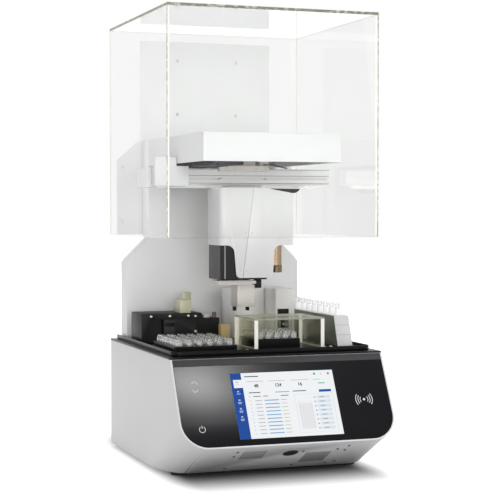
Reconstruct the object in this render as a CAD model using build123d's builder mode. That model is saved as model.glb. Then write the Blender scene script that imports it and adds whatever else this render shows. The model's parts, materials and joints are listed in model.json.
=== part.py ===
from build123d import *
import os
from math import cos, radians, sin

# Bench liquid handling robot: a deck of vial racks under a Cartesian gantry, inside a clear hood
# that a screw lifts behind the tower. Millimetres, +Z up, +X to the operator's right, +Y to the
# rear, origin on the table under the middle of the outline. A depth is measured back from the
# hood's front face.

os.makedirs("parts", exist_ok=True)

# Driving dimensions
HOOD_FRONT = -176.4  # Y of the hood's front face
BASE_HALF = 225.0  # half the width of the base and of the hood
BASE_REAR = 456.0  # depth of the base's rear wall
BASE_TOP = 240.0
FOOT_HEIGHT = 9.0
SHEET = 3.5  # wall of the base
PANEL_TOP = -16.0  # depth of the control panel's top edge
PANEL_TILT = 28.0  # degrees from upright
PANEL_LENGTH = 185.7
CORNER_RADIUS = 55.0  # lower corners of the control panel
GLASS = 2.0
GLASS_SIDE = 221.5  # half the width of the glass
GLASS_LOWER = 182.3  # down the panel to the glass's lower edge
STRIP_LOWER = 15.0  # down the panel to the strip's lower edge
DISPLAY_HALF = 109.5
DISPLAY_UPPER = 33.6
DISPLAY_LOWER = 169.6
DECK_TOP = 247.0
FLANGE_TOP = 243.0
RIM_HALF = 213.0
RIM_NEAR = 5.6  # the lowered hood's front panel comes down in front of the rim
RIM_TOP = 253.0
COVER = 2.0  # sheet of the tower and the arm
TOWER_FRONT = 395.0
TOWER_REAR = 443.0
TOWER_HALF = 203.0
TOWER_NECK = 149.5
TOWER_TOP = 686.0
ARM_FRONT = 14.0
ARM_BOTTOM = 628.0
HOOD_BOTTOM = 476.0
HOOD_TOP = 935.0
ACRYLIC = 5.0
RAIL_X = 90.0  # lift rails either side of the middle
RAIL_GAP = 0.3  # round a rail inside its carriage
BEAM_LEFT = -191.0
BEAM_RIGHT = 200.0
BEAM_SLOT = 597.2  # height of the slot along the beam's front
VIAL_SIDES = 8
VIAL_RADIUS = 7.5
POCKET = 15.6  # side of a rack's square pocket
FRONT_CENTRE = (-133, 118)
FRONT_PITCH = (21.2, 19.2)
FRONT_COUNT = (6, 8)
MIDDLE_CENTRE = (34, 122)
MIDDLE_PITCH = (18.6, 19.2)
MIDDLE_COUNT = (5, 5)
TUBE_CENTRE = (182, 226.5)
TUBE_PITCH = 32.4
TUBE_RACK_LEFT = 165.0
SCREW_SIDES = 8
SCREW_RADIUS = 6.0
SCREW_DEPTH = 425.0
GAP = 0.2  # round a piece let into its seat
X_CHAIN_PITCH = 18.0
Y_CHAIN_PITCH = 25.0
CAPPER_FRONT = 272.0
HEAD_LEFT = -66.0
HEAD_RIGHT = 99.0
HEAD_NEAR = 150.0
HEAD_FAR = 238.0
HEAD_TOP = 578.0
HEAD_SHOULDER = 457.0
HEAD_LOW = 388.5
HEAD_WALL = 2.5
SPLIT_TOP = 7.6
SPLIT_LOW = -16.4
SPLIT_GAP = 0.4  # either side of the head covers' split line
KEYPAD_FRONT = 275.0

# Worked out from the above
tilt = radians(PANEL_TILT)
nose_depth = PANEL_TOP - PANEL_LENGTH * sin(tilt)
nose_height = BASE_TOP - PANEL_LENGTH * cos(tilt)
chin_end = nose_depth + (nose_height - FOOT_HEIGHT) * cos(tilt) / sin(tilt)
panel_normal = (0, -cos(tilt), sin(tilt))
chin_normal = (0, -sin(tilt), -cos(tilt))
panel = Plane((0, HOOD_FRONT + PANEL_TOP, BASE_TOP), (1, 0, 0), panel_normal)
chin = Plane((0, HOOD_FRONT + nose_depth, nose_height), (1, 0, 0), chin_normal)
glass_corner = CORNER_RADIUS - SHEET


def wall_at(depth):
    """The upright plane at a depth, facing the operator, so that extrusions come forward."""
    return Plane.XZ.offset(-(HOOD_FRONT + depth))


def block(left, right, near, far, low, high, mode=Mode.ADD):
    """A straight block between its six faces, near and far being depths."""
    with Locations(((left + right) / 2, HOOD_FRONT + (near + far) / 2, (low + high) / 2)):
        Box(right - left, far - near, high - low, mode=mode)


def post(x, depth, low, high, radius, mode=Mode.ADD):
    """An upright round bar."""
    with Locations((x, HOOD_FRONT + depth, low)):
        Cylinder(radius, high - low, align=(Align.CENTER, Align.CENTER, Align.MIN), mode=mode)


def heads(plane, places, radius, height):
    """Screw heads on a plane, as short eight-sided bars."""
    with BuildSketch(plane) as prints:
        with Locations(*places):
            RegularPolygon(radius, SCREW_SIDES)
    extrude(prints.sketch, amount=height)


# Base: shell, floor and feet
with BuildPart() as base_shell:
    with BuildSketch(Plane.YZ.offset(-BASE_HALF)) as base_side:
        with BuildLine():
            Polyline(
                (HOOD_FRONT + BASE_REAR, FOOT_HEIGHT),
                (HOOD_FRONT + BASE_REAR, BASE_TOP),
                (HOOD_FRONT + PANEL_TOP, BASE_TOP),
                (HOOD_FRONT + nose_depth, nose_height),
                (HOOD_FRONT + chin_end, FOOT_HEIGHT),
                close=True,
            )
        make_face()
    extrude(amount=2 * BASE_HALF)
    chin_face = base_shell.faces().sort_by(Axis((0, 0, 0), chin_normal))[-1]
    fillet(chin_face.edges().filter_by(Plane.YZ), CORNER_RADIUS)
    rear_face = base_shell.faces().sort_by(Axis.Y)[-1]
    fillet(rear_face.edges().filter_by(Axis.Z), 6)
    ends = base_shell.faces().filter_by(Axis.Z).sort_by(Axis.Z)
    offset(amount=-SHEET, openings=[ends[0], ends[-1]])
    with BuildSketch(panel) as glass_seat:
        with BuildLine():
            Polyline(
                (-GLASS_SIDE, 4),
                (-GLASS_SIDE, -GLASS_LOWER - GAP),
                (GLASS_SIDE, -GLASS_LOWER - GAP),
                (GLASS_SIDE, 4),
                close=True,
            )
        make_face()
        fillet(glass_seat.vertices().group_by(Axis.Y)[0], glass_corner)
    extrude(amount=-GLASS - GAP, mode=Mode.SUBTRACT)
    with BuildSketch(panel) as display_window:
        with Locations((0, -(DISPLAY_UPPER + DISPLAY_LOWER) / 2)):
            Rectangle(2 * DISPLAY_HALF + 1, DISPLAY_LOWER - DISPLAY_UPPER + 1)
    extrude(amount=-4 * SHEET, mode=Mode.SUBTRACT)
    with BuildSketch(chin) as port_hole:
        with Locations((10, -52)):
            Circle(15.7)
    extrude(amount=-2 * SHEET, mode=Mode.SUBTRACT)
    block(-150.3, -99.7, BASE_REAR - 5, BASE_REAR + 5, 39.7, 75.3, mode=Mode.SUBTRACT)
    block(59.7, 130.3, BASE_REAR - 5, BASE_REAR + 5, 44.7, 70.3, mode=Mode.SUBTRACT)
base_shell.part.label = "base_shell"
export_step(base_shell.part, "parts/base_shell.step")

corner_depth = CORNER_RADIUS / sin(tilt)  # how far back the chin's rounded corners reach
corner_centre = HOOD_FRONT + chin_end + corner_depth
with BuildPart() as bottom_plate:
    with BuildSketch(Plane.XY.offset(FOOT_HEIGHT)) as plate_half:
        with BuildLine():
            Line((0, corner_centre - corner_depth + 10), (170, corner_centre - corner_depth + 10))
            EllipticalCenterArc((170, corner_centre), 49, corner_depth - 10, 270, arc_size=90)
            Line((219, corner_centre), (219, HOOD_FRONT + BASE_REAR - 12))
            Line((219, HOOD_FRONT + BASE_REAR - 12), (0, HOOD_FRONT + BASE_REAR - 12))
            Line((0, HOOD_FRONT + BASE_REAR - 12), (0, corner_centre - corner_depth + 10))
        make_face()
        mirror(about=Plane.YZ)
    extrude(amount=3)
    with Locations((0, HOOD_FRONT + 250, FOOT_HEIGHT)):
        with GridLocations(24, 0, 9, 1):
            Box(3.5, 120, 20, mode=Mode.SUBTRACT)
bottom_plate.part.label = "bottom_plate"
export_step(bottom_plate.part, "parts/bottom_plate.step")

with BuildPart() as rubber_feet:
    with BuildSketch() as foot_prints:
        with Locations((0, HOOD_FRONT + 225)):
            with GridLocations(370, 320, 2, 2):
                RegularPolygon(15, 2 * SCREW_SIDES)
    extrude(amount=FOOT_HEIGHT)
    chamfer(rubber_feet.faces().sort_by(Axis.Z)[:4].edges(), 1.5)
rubber_feet.part.label = "rubber_feet"
export_step(rubber_feet.part, "parts/rubber_feet.step")

# Control panel, let into the shell's slope
with BuildPart() as front_glass:
    with BuildSketch(panel.offset(-GLASS)) as glass_outline:
        with BuildLine():
            Polyline(
                (GAP - GLASS_SIDE, -STRIP_LOWER - 0.5),
                (GAP - GLASS_SIDE, -GLASS_LOWER),
                (GLASS_SIDE - GAP, -GLASS_LOWER),
                (GLASS_SIDE - GAP, -STRIP_LOWER - 0.5),
                close=True,
            )
        make_face()
        fillet(glass_outline.vertices().group_by(Axis.Y)[0], glass_corner - GAP)
        with Locations((0, -(DISPLAY_UPPER + DISPLAY_LOWER) / 2)):
            Rectangle(2 * DISPLAY_HALF, DISPLAY_LOWER - DISPLAY_UPPER, mode=Mode.SUBTRACT)
    extrude(amount=GLASS)
front_glass.part.label = "front_glass"
export_step(front_glass.part, "parts/front_glass.step")

with BuildPart() as touch_display:
    with BuildSketch(panel) as display_outline:
        with Locations((0, -(DISPLAY_UPPER + DISPLAY_LOWER) / 2)):
            Rectangle(2 * (DISPLAY_HALF - GAP), DISPLAY_LOWER - DISPLAY_UPPER - 2 * GAP)
    extrude(amount=-9)
touch_display.part.label = "touch_display"
export_step(touch_display.part, "parts/touch_display.step")

with BuildPart() as panel_top_strip:
    with BuildSketch(panel.offset(-GLASS)) as strip_outline:
        with Locations((0, -STRIP_LOWER / 2 - 0.6)):
            Rectangle(2 * (GLASS_SIDE - GAP), STRIP_LOWER - 1.2)
    extrude(amount=GLASS)
panel_top_strip.part.label = "panel_top_strip"
export_step(panel_top_strip.part, "parts/panel_top_strip.step")

# Underside of the chin: service cap and screws
with BuildPart() as chin_port_cap:
    with BuildSketch(chin.offset(-SHEET)) as port_cap_outline:
        with Locations((10, -52)):
            Circle(15.5)
    extrude(amount=SHEET + 0.5)
    with BuildSketch(chin.offset(0.5)) as key_slot:
        with Locations((10, -52)):
            RegularPolygon(6, 6)
    extrude(amount=-2.5, mode=Mode.SUBTRACT)
chin_port_cap.part.label = "chin_port_cap"
export_step(chin_port_cap.part, "parts/chin_port_cap.step")

with BuildPart() as chin_screws:
    left_heads = [(-108, -27), (-108, -52), (-106, -123)]
    right_heads = [(126, -25), (126, -50), (128, -118)]
    plate_heads = [(34, -43), (107, -41), (37, -125), (110, -124)]
    heads(chin, left_heads + right_heads + plate_heads, 3, 1.2)
chin_screws.part.label = "chin_screws"
export_step(chin_screws.part, "parts/chin_screws.step")

# Rear connectors
with BuildPart() as power_inlet:
    block(-150, -100, BASE_REAR - 24, BASE_REAR + 0, 40, 75)
    block(-139, -111, BASE_REAR - 17, BASE_REAR + 1, 46, 66, mode=Mode.SUBTRACT)
    with Locations((-125, HOOD_FRONT + BASE_REAR - 12.5, 56)):
        with Locations((-7, 0, -2), (0, 0, 2), (7, 0, -2)):
            Box(2, 11, 4)
power_inlet.part.label = "power_inlet"
export_step(power_inlet.part, "parts/power_inlet.step")

with BuildPart() as rear_sockets:
    block(60, 130, BASE_REAR - 18, BASE_REAR + 0, 45, 70)
    block(65, 80, BASE_REAR - 13, BASE_REAR + 1, 50, 63, mode=Mode.SUBTRACT)
    block(87, 100, BASE_REAR - 13, BASE_REAR + 1, 52, 58, mode=Mode.SUBTRACT)
    block(108, 121, BASE_REAR - 13, BASE_REAR + 1, 52, 58, mode=Mode.SUBTRACT)
rear_sockets.part.label = "rear_sockets"
export_step(rear_sockets.part, "parts/rear_sockets.step")

# Inside the base
with BuildPart() as control_electronics:
    block(-180, -60, 250, 400, 12, 62)
    block(20, 190, 120, 330, 20, 22)
    heads(Plane.XY.offset(12), [(x, HOOD_FRONT + y) for x in (30, 180) for y in (130, 320)], 4, 8)
    block(40, 80, 180, 220, 22, 34)
    block(110, 160, 240, 300, 22, 40)
control_electronics.part.label = "control_electronics"
export_step(control_electronics.part, "parts/control_electronics.step")

with BuildPart() as lift_motor:
    block(-28, 28, SCREW_DEPTH - 27, SCREW_DEPTH + 27, 150, 230)
    block(-34, 34, SCREW_DEPTH - 30, SCREW_DEPTH + 27, 230, BASE_TOP)
    post(0, SCREW_DEPTH, BASE_TOP, 246, 14)
    post(0, SCREW_DEPTH, 236, 247, SCREW_RADIUS + 0.5, mode=Mode.SUBTRACT)
lift_motor.part.label = "lift_motor"
export_step(lift_motor.part, "parts/lift_motor.step")

# Deck
with BuildPart() as deck_plate:
    block(-226, 226, -16.5, BASE_REAR, BASE_TOP, FLANGE_TOP)
    fillet(deck_plate.edges().filter_by(Axis.Z), 4)
    block(2.2 - RIM_HALF, RIM_HALF - 2.2, RIM_NEAR + 2.2, TOWER_FRONT - 0.2, FLANGE_TOP, DECK_TOP)
    front_corners = deck_plate.edges().filter_by(Axis.Z).filter_by(lambda e: e.center().Z > FLANGE_TOP)
    fillet(front_corners.group_by(Axis.Y)[0], 16)
    post(0, SCREW_DEPTH, BASE_TOP - 1, DECK_TOP, 14.5, mode=Mode.SUBTRACT)
deck_plate.part.label = "deck_plate"
export_step(deck_plate.part, "parts/deck_plate.step")

with BuildPart() as deck_rim:
    block(-RIM_HALF, RIM_HALF, RIM_NEAR, TOWER_REAR, FLANGE_TOP, RIM_TOP)
    fillet(deck_rim.edges().filter_by(Axis.Z).group_by(Axis.Y)[0], 18)
    rim_ends = [deck_rim.faces().sort_by(Axis.Z)[0], deck_rim.faces().sort_by(Axis.Z)[-1]]
    offset(amount=-2, openings=rim_ends + [deck_rim.faces().sort_by(Axis.Y)[-1]])
deck_rim.part.label = "deck_rim"
export_step(deck_rim.part, "parts/deck_rim.step")

with BuildPart() as white_pins:
    pins = [(x, HOOD_FRONT + y) for x, y in ((-52, 24), (118, 30), (134, 34))]
    heads(Plane.XY.offset(DECK_TOP), pins, 3, 5)
white_pins.part.label = "white_pins"
export_step(white_pins.part, "parts/white_pins.step")

# Tower behind the deck
with BuildPart() as tower_cover:
    with BuildSketch(wall_at(TOWER_REAR)) as tower_outline:
        with BuildLine():
            Polyline(
                (-TOWER_HALF, FLANGE_TOP),
                (-TOWER_HALF, 415),
                (-TOWER_NECK, 468.5),
                (-TOWER_NECK, TOWER_TOP),
                (TOWER_NECK, TOWER_TOP),
                (TOWER_NECK, 468.5),
                (TOWER_HALF, 415),
                (TOWER_HALF, FLANGE_TOP),
                close=True,
            )
        make_face()
    extrude(amount=TOWER_REAR - TOWER_FRONT)
    tower_ends = [tower_cover.faces().sort_by(Axis.Y)[-1], tower_cover.faces().sort_by(Axis.Z)[0]]
    offset(amount=-COVER, openings=tower_ends, kind=Kind.INTERSECTION)
    block(-145, 145, TOWER_FRONT - 1, TOWER_FRONT + 3, 634, 682, mode=Mode.SUBTRACT)
tower_cover.part.label = "tower_cover"
export_step(tower_cover.part, "parts/tower_cover.step")

with BuildPart() as tower_frame:
    for side in (-1, 1):
        block(side * RAIL_X - 15, side * RAIL_X + 15, 408, 432, FLANGE_TOP, 683)
        block(side * RAIL_X - 10, side * RAIL_X + 10, 411, 429, FLANGE_TOP + 5, 640, mode=Mode.SUBTRACT)
    block(-195, 195, 398, 408, 290, 320)
    block(-140, 140, 398, 408, 640, 683)
    block(-25, 25, 408, 441, 655, 667)
    post(0, SCREW_DEPTH, 650, 668, SCREW_RADIUS + 0.4, mode=Mode.SUBTRACT)
tower_frame.part.label = "tower_frame"
export_step(tower_frame.part, "parts/tower_frame.step")

with BuildPart() as lift_rails:
    for side in (-1, 1):
        block(side * RAIL_X - 6, side * RAIL_X + 6, 432, 440, 300, 683)
lift_rails.part.label = "lift_rails"
export_step(lift_rails.part, "parts/lift_rails.step")

with BuildPart() as lift_screw:
    post(0, SCREW_DEPTH, 240, 675, SCREW_RADIUS)
lift_screw.part.label = "lift_screw"
export_step(lift_screw.part, "parts/lift_screw.step")

# Arm over the deck
with BuildPart() as arm_cover:
    with BuildSketch(Plane.XY.offset(ARM_BOTTOM)) as arm_outline:
        with BuildLine():
            Polyline(
                (-TOWER_NECK, HOOD_FRONT + TOWER_FRONT - 0.2),
                (2 - TOWER_NECK, HOOD_FRONT + ARM_FRONT),
                (TOWER_NECK - 2, HOOD_FRONT + ARM_FRONT),
                (TOWER_NECK, HOOD_FRONT + TOWER_FRONT - 0.2),
                close=True,
            )
        make_face()
    extrude(amount=TOWER_TOP - ARM_BOTTOM)
    arm_ends = [arm_cover.faces().sort_by(Axis.Y)[-1], arm_cover.faces().sort_by(Axis.Z)[0]]
    offset(amount=-COVER, openings=arm_ends, kind=Kind.INTERSECTION)
arm_cover.part.label = "arm_cover"
export_step(arm_cover.part, "parts/arm_cover.step")

with BuildPart() as arm_beam:
    block(-58, 68, 30, 398, 655, 682)
    block(-52, 62, 24, 390, 661, 676, mode=Mode.SUBTRACT)
arm_beam.part.label = "arm_beam"
export_step(arm_beam.part, "parts/arm_beam.step")

with BuildPart() as y_rails:
    for rail_x in (-40, 50):
        block(rail_x - 6, rail_x + 6, 40, 390, 647, 655)
y_rails.part.label = "y_rails"
export_step(y_rails.part, "parts/y_rails.step")

with BuildPart() as y_cable_chain:
    block(-143, -62, 18, 380, 632, 655)
    with Locations((-102.5, HOOD_FRONT + 199, 643.5)):
        with GridLocations(0, Y_CHAIN_PITCH, 1, 14):
            Box(82, 2, 26, mode=Mode.SUBTRACT)
    block(-139, -66, 18, 380, 635, 652)
y_cable_chain.part.label = "y_cable_chain"
export_step(y_cable_chain.part, "parts/y_cable_chain.step")

# Clear hood, drawn raised
hood_wall = HOOD_TOP - ACRYLIC
with BuildPart() as hood_front_panel:
    block(-BASE_HALF, BASE_HALF, 0, ACRYLIC, HOOD_BOTTOM, hood_wall)
hood_front_panel.part.label = "hood_front_panel"
export_step(hood_front_panel.part, "parts/hood_front_panel.step")

with BuildPart() as hood_left_panel:
    block(-BASE_HALF, ACRYLIC - BASE_HALF, ACRYLIC, BASE_REAR - ACRYLIC, HOOD_BOTTOM, hood_wall)
hood_left_panel.part.label = "hood_left_panel"
export_step(hood_left_panel.part, "parts/hood_left_panel.step")

with BuildPart() as hood_right_panel:
    block(BASE_HALF - ACRYLIC, BASE_HALF, ACRYLIC, BASE_REAR - ACRYLIC, HOOD_BOTTOM, hood_wall)
hood_right_panel.part.label = "hood_right_panel"
export_step(hood_right_panel.part, "parts/hood_right_panel.step")

with BuildPart() as hood_top_panel:
    block(-BASE_HALF, BASE_HALF, 0, BASE_REAR, hood_wall, HOOD_TOP)
hood_top_panel.part.label = "hood_top_panel"
export_step(hood_top_panel.part, "parts/hood_top_panel.step")

with BuildPart() as hood_rear_panel:
    block(-BASE_HALF, BASE_HALF, BASE_REAR - ACRYLIC, BASE_REAR, HOOD_BOTTOM, hood_wall)
hood_rear_panel.part.label = "hood_rear_panel"
export_step(hood_rear_panel.part, "parts/hood_rear_panel.step")

with BuildPart() as hood_plate:
    with BuildSketch(wall_at(BASE_REAR - ACRYLIC)) as plate_outline:
        with BuildLine():
            Polyline(
                (-207, HOOD_BOTTOM),
                (-207, 643),
                (-152, 691),
                (-152, 911),
                (152, 911),
                (152, 691),
                (207, 643),
                (207, HOOD_BOTTOM),
                close=True,
            )
        make_face()
    extrude(amount=3)
hood_plate.part.label = "hood_plate"
export_step(hood_plate.part, "parts/hood_plate.step")

with BuildPart() as hood_screws:
    plate_screws = [(70, 868), (70, 748), (195, 628), (195, 505)]
    screw_places = [(side * x, z) for side in (-1, 1) for x, z in plate_screws]
    heads(wall_at(BASE_REAR - ACRYLIC - 3), screw_places, 4, 2)
hood_screws.part.label = "hood_screws"
export_step(hood_screws.part, "parts/hood_screws.step")

with BuildPart() as hood_carriages:
    for side in (-1, 1):
        rail = side * RAIL_X
        for low in (560, 636):
            block(rail - 13.5, rail + 13.5, 435, 448, low, low + 45)
        groove = 6 + RAIL_GAP
        block(rail - groove, rail + groove, 434, 440 + RAIL_GAP, 550, 690, mode=Mode.SUBTRACT)
    block(-15, 15, 410, 448, 600, 625)
    post(0, SCREW_DEPTH, 599, 626, SCREW_RADIUS + 0.05, mode=Mode.SUBTRACT)
hood_carriages.part.label = "hood_carriages"
export_step(hood_carriages.part, "parts/hood_carriages.step")

# Gantry that runs back and forth under the arm
with BuildPart() as gantry_plate:
    block(-54, 59, 196, 252, 618.4, 625)
    block(-54, 59, 196, 203.8, 613, 619)
    block(-5, 29, 200, 248, 625, 633)
    for rail_x in (-40, 50):
        block(rail_x - 11, rail_x + 11, 204, 248, 625, 654)
        groove = 6 + RAIL_GAP
        block(rail_x - groove, rail_x + groove, 199, 249, 646.7, 655, mode=Mode.SUBTRACT)
gantry_plate.part.label = "gantry_plate"
export_step(gantry_plate.part, "parts/gantry_plate.step")

with BuildPart() as x_beam:
    block(BEAM_LEFT, BEAM_RIGHT, 204, 244, 585, 618.4)
    with BuildSketch(Plane.YZ.offset(BEAM_LEFT - 1)) as slot_outline:
        with Locations((HOOD_FRONT + 205.5, BEAM_SLOT)):
            Rectangle(4, 4)
        with Locations((HOOD_FRONT + 209, BEAM_SLOT)):
            Rectangle(3.4, 10)
    extrude(amount=BEAM_RIGHT - BEAM_LEFT + 2, mode=Mode.SUBTRACT)
    heads(wall_at(204), [(-48, BEAM_SLOT), (54, BEAM_SLOT)], 2.8, 1)
x_beam.part.label = "x_beam"
export_step(x_beam.part, "parts/x_beam.step")

with BuildPart() as beam_end_cover:
    block(-192, -150, 188, 203.6, 581.5, 641)
    block(-150, -124, 188, 203.6, 581.5, 623)
    block(-190, -123, 190, 204, 583.5, 615, mode=Mode.SUBTRACT)
beam_end_cover.part.label = "beam_end_cover"
export_step(beam_end_cover.part, "parts/beam_end_cover.step")

with BuildPart() as x_motor_cover:
    block(-201, -191.5, 223.5, 246, 579, 619)
    block(-201, -150, 246, 305, 579, 619)
    fillet(x_motor_cover.edges().filter_by(Axis.Z).group_by(Axis.Y)[-1], 5)
x_motor_cover.part.label = "x_motor_cover"
export_step(x_motor_cover.part, "parts/x_motor_cover.step")

with BuildPart() as x_rail:
    block(-180, 180, 218, 230, 577, 585)
x_rail.part.label = "x_rail"
export_step(x_rail.part, "parts/x_rail.step")

with BuildPart() as x_cable_chain:
    with BuildSketch(wall_at(266)) as chain_path:
        with BuildLine():
            Line((30, 568), (134, 568))
            ThreePointArc((134, 568), (152, 586), (134, 604))
            Line((134, 604), (-140, 604))
            Line((-140, 604), (-140, 592))
            Line((-140, 592), (134, 592))
            ThreePointArc((134, 592), (140, 586), (134, 580))
            Line((134, 580), (30, 580))
            Line((30, 580), (30, 568))
        make_face()
    extrude(amount=19)
    for run_middle, run_face, slits in ((90, 568, 5), (0, 604, 14)):
        with Locations((run_middle, HOOD_FRONT + 256.5, run_face)):
            with GridLocations(X_CHAIN_PITCH, 1, slits, 1):
                Box(2, 20, 6, mode=Mode.SUBTRACT)
x_cable_chain.part.label = "x_cable_chain"
export_step(x_cable_chain.part, "parts/x_cable_chain.step")

# Head that runs along the beam
with BuildPart() as x_carriage:
    block(-35, 45, 206, 240, 566, 584)
    groove = 6 + RAIL_GAP
    block(-36, 46, 224 - groove, 224 + groove, 577 - RAIL_GAP, 585, mode=Mode.SUBTRACT)
x_carriage.part.label = "x_carriage"
export_step(x_carriage.part, "parts/x_carriage.step")

with BuildPart() as head_frame:
    block(-63, 40, 154, 236, 385, 566)
    fillet(head_frame.edges().filter_by(Axis.Z).group_by(Axis.Y)[0], 6)
    block(-10, 14, 196, 220, 384, 470, mode=Mode.SUBTRACT)
    block(20, 41, 153, 200, 470, 560, mode=Mode.SUBTRACT)
head_frame.part.label = "head_frame"
export_step(head_frame.part, "parts/head_frame.step")

with BuildPart() as head_shell:
    with BuildSketch(wall_at(HEAD_FAR)) as head_outline:
        with BuildLine():
            Polyline(
                (HEAD_LEFT, HEAD_SHOULDER),
                (HEAD_LEFT, HEAD_TOP),
                (32, HEAD_TOP),
                (HEAD_RIGHT, HEAD_TOP - 12),
                (HEAD_RIGHT, HEAD_SHOULDER),
                close=True,
            )
        make_face()
    extrude(amount=HEAD_FAR - HEAD_NEAR)
    fillet(head_shell.edges().filter_by(Axis.Z).group_by(Axis.Y)[0], 10)
    shell_ends = [head_shell.faces().sort_by(Axis.Y)[-1], head_shell.faces().sort_by(Axis.Z)[0]]
    offset(amount=-HEAD_WALL, openings=shell_ends, kind=Kind.INTERSECTION)
    with BuildSketch(wall_at(HEAD_NEAR + HEAD_WALL)) as tongue:
        with BuildLine():
            Polyline(
                (HEAD_LEFT + 9, HEAD_SHOULDER + 12),
                (HEAD_LEFT + 9, HEAD_SHOULDER),
                (-36.3, HEAD_SHOULDER),
                (-30.5, HEAD_LOW),
                (50.5, HEAD_LOW),
                (54, HEAD_SHOULDER),
                (HEAD_RIGHT - 12, HEAD_SHOULDER),
                (HEAD_RIGHT - 12, HEAD_SHOULDER + 12),
                close=True,
            )
        make_face()
        fillet(tongue.vertices().group_by(Axis.Y)[1].sort_by(Axis.X)[1:3], 16)
        fillet(tongue.vertices().group_by(Axis.Y)[0], 10)
    extrude(amount=HEAD_WALL)
    block(-40, 50, 202, HEAD_FAR + 1, HEAD_TOP - 22, HEAD_TOP + 1, mode=Mode.SUBTRACT)
    block(HEAD_LEFT - 1, HEAD_RIGHT + 1, 214, HEAD_FAR + 1, 574, HEAD_TOP + 1, mode=Mode.SUBTRACT)


def split_side(side):
    """Prism that holds everything on one side of the head's slanting split line."""
    slope = (SPLIT_TOP - SPLIT_LOW) / (HEAD_TOP - HEAD_LOW)
    low = HEAD_LOW - 10
    high = HEAD_TOP + 10
    edge_low = SPLIT_LOW - 10 * slope + side * SPLIT_GAP
    edge_high = SPLIT_TOP + 10 * slope + side * SPLIT_GAP
    return [(edge_low, low), (edge_high, high), (side * 200, high), (side * 200, low)]


with BuildPart() as head_cover_left:
    add(head_shell.part)
    with BuildSketch(wall_at(HEAD_FAR + 5)) as left_side:
        with BuildLine():
            Polyline(*split_side(-1), close=True)
        make_face()
    extrude(amount=HEAD_FAR - HEAD_NEAR + 10, mode=Mode.INTERSECT)
head_cover_left.part.label = "head_cover_left"
export_step(head_cover_left.part, "parts/head_cover_left.step")

with BuildPart() as head_cover_right:
    add(head_shell.part)
    with BuildSketch(wall_at(HEAD_FAR + 5)) as right_side:
        with BuildLine():
            Polyline(*split_side(1), close=True)
        make_face()
    extrude(amount=HEAD_FAR - HEAD_NEAR + 10, mode=Mode.INTERSECT)
head_cover_right.part.label = "head_cover_right"
export_step(head_cover_right.part, "parts/head_cover_right.step")

with BuildPart() as head_screws:
    for screw_z in (404, 483):
        split_x = SPLIT_LOW + (screw_z - HEAD_LOW) * (SPLIT_TOP - SPLIT_LOW) / (HEAD_TOP - HEAD_LOW)
        heads(wall_at(HEAD_NEAR), [(split_x - 7, screw_z), (split_x + 7, screw_z)], 2.2, 1)
head_screws.part.label = "head_screws"
export_step(head_screws.part, "parts/head_screws.step")

with BuildPart() as head_cartridge:
    post(72.5, 190, 398, 413, 13.2)
    post(72.5, 190, 413, 520, 12.5)
    block(40, 64, 184, 196, 500, 512)
head_cartridge.part.label = "head_cartridge"
export_step(head_cartridge.part, "parts/head_cartridge.step")

# Tool that the head lowers
with BuildPart() as tool_plate:
    block(-59, 17, 187, 230, 372, 382)
    block(-8, 12, 198, 218, 382, 460)
    block(17, 26.3, 187, 205, 374, 381)
tool_plate.part.label = "tool_plate"
export_step(tool_plate.part, "parts/tool_plate.step")

with BuildPart() as sensor_block:
    block(26.5, 38.5, 187, 205, 365, 384)
    fillet(sensor_block.edges().filter_by(Axis.Z), 1.5)
sensor_block.part.label = "sensor_block"
export_step(sensor_block.part, "parts/sensor_block.step")

with BuildPart() as gripper_body:
    block(-14, 26, 192, 236, 325, 372)
    fillet(gripper_body.edges().filter_by(Axis.Z), 2)
    block(-13.6, 25.6, 215, 229, 324, 330, mode=Mode.SUBTRACT)
gripper_body.part.label = "gripper_body"
export_step(gripper_body.part, "parts/gripper_body.step")

with BuildPart() as left_finger:
    block(-13, -8, 216, 228, 315.5, 329.5)
left_finger.part.label = "left_finger"
export_step(left_finger.part, "parts/left_finger.step")

with BuildPart() as right_finger:
    block(16, 21, 216, 228, 315.5, 329.5)
right_finger.part.label = "right_finger"
export_step(right_finger.part, "parts/right_finger.step")


# Racks and vials on the deck
def vial_grid(plane, centre, pitch, count, radius):
    """Sketch of a rack's vials; centre, pitch and count are each across and along."""
    with BuildSketch(plane) as grid:
        with Locations((centre[0], HOOD_FRONT + centre[1])):
            with GridLocations(*pitch, *count):
                RegularPolygon(radius, VIAL_SIDES)
    return grid.sketch


def pocket_grid(plane, centre, pitch, count, width):
    """Sketch of the square pockets that a rack's vials stand in."""
    with BuildSketch(plane) as grid:
        with Locations((centre[0], HOOD_FRONT + centre[1])):
            with GridLocations(*pitch, *count):
                Rectangle(width, width)
    return grid.sketch


with BuildPart() as front_rack:
    block(-199, -67, 40, 196, DECK_TOP, 259)
    fillet(front_rack.edges().filter_by(Axis.Z), 3)
    add(pocket_grid(Plane.XY.offset(259), FRONT_CENTRE, FRONT_PITCH, FRONT_COUNT, POCKET))
    extrude(amount=-8, mode=Mode.SUBTRACT)
front_rack.part.label = "front_rack"
export_step(front_rack.part, "parts/front_rack.step")

with BuildPart() as front_vials:
    add(vial_grid(Plane.XY.offset(251), FRONT_CENTRE, FRONT_PITCH, FRONT_COUNT, VIAL_RADIUS))
    extrude(amount=21)
front_vials.part.label = "front_vials"
export_step(front_vials.part, "parts/front_vials.step")

with BuildPart() as middle_rack:
    block(-14, 82, 72, 172, DECK_TOP, 266)
    fillet(middle_rack.edges().filter_by(Axis.Z), 3)
    add(pocket_grid(Plane.XY.offset(266), MIDDLE_CENTRE, MIDDLE_PITCH, MIDDLE_COUNT, POCKET))
    extrude(amount=-14, mode=Mode.SUBTRACT)
middle_rack.part.label = "middle_rack"
export_step(middle_rack.part, "parts/middle_rack.step")

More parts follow.
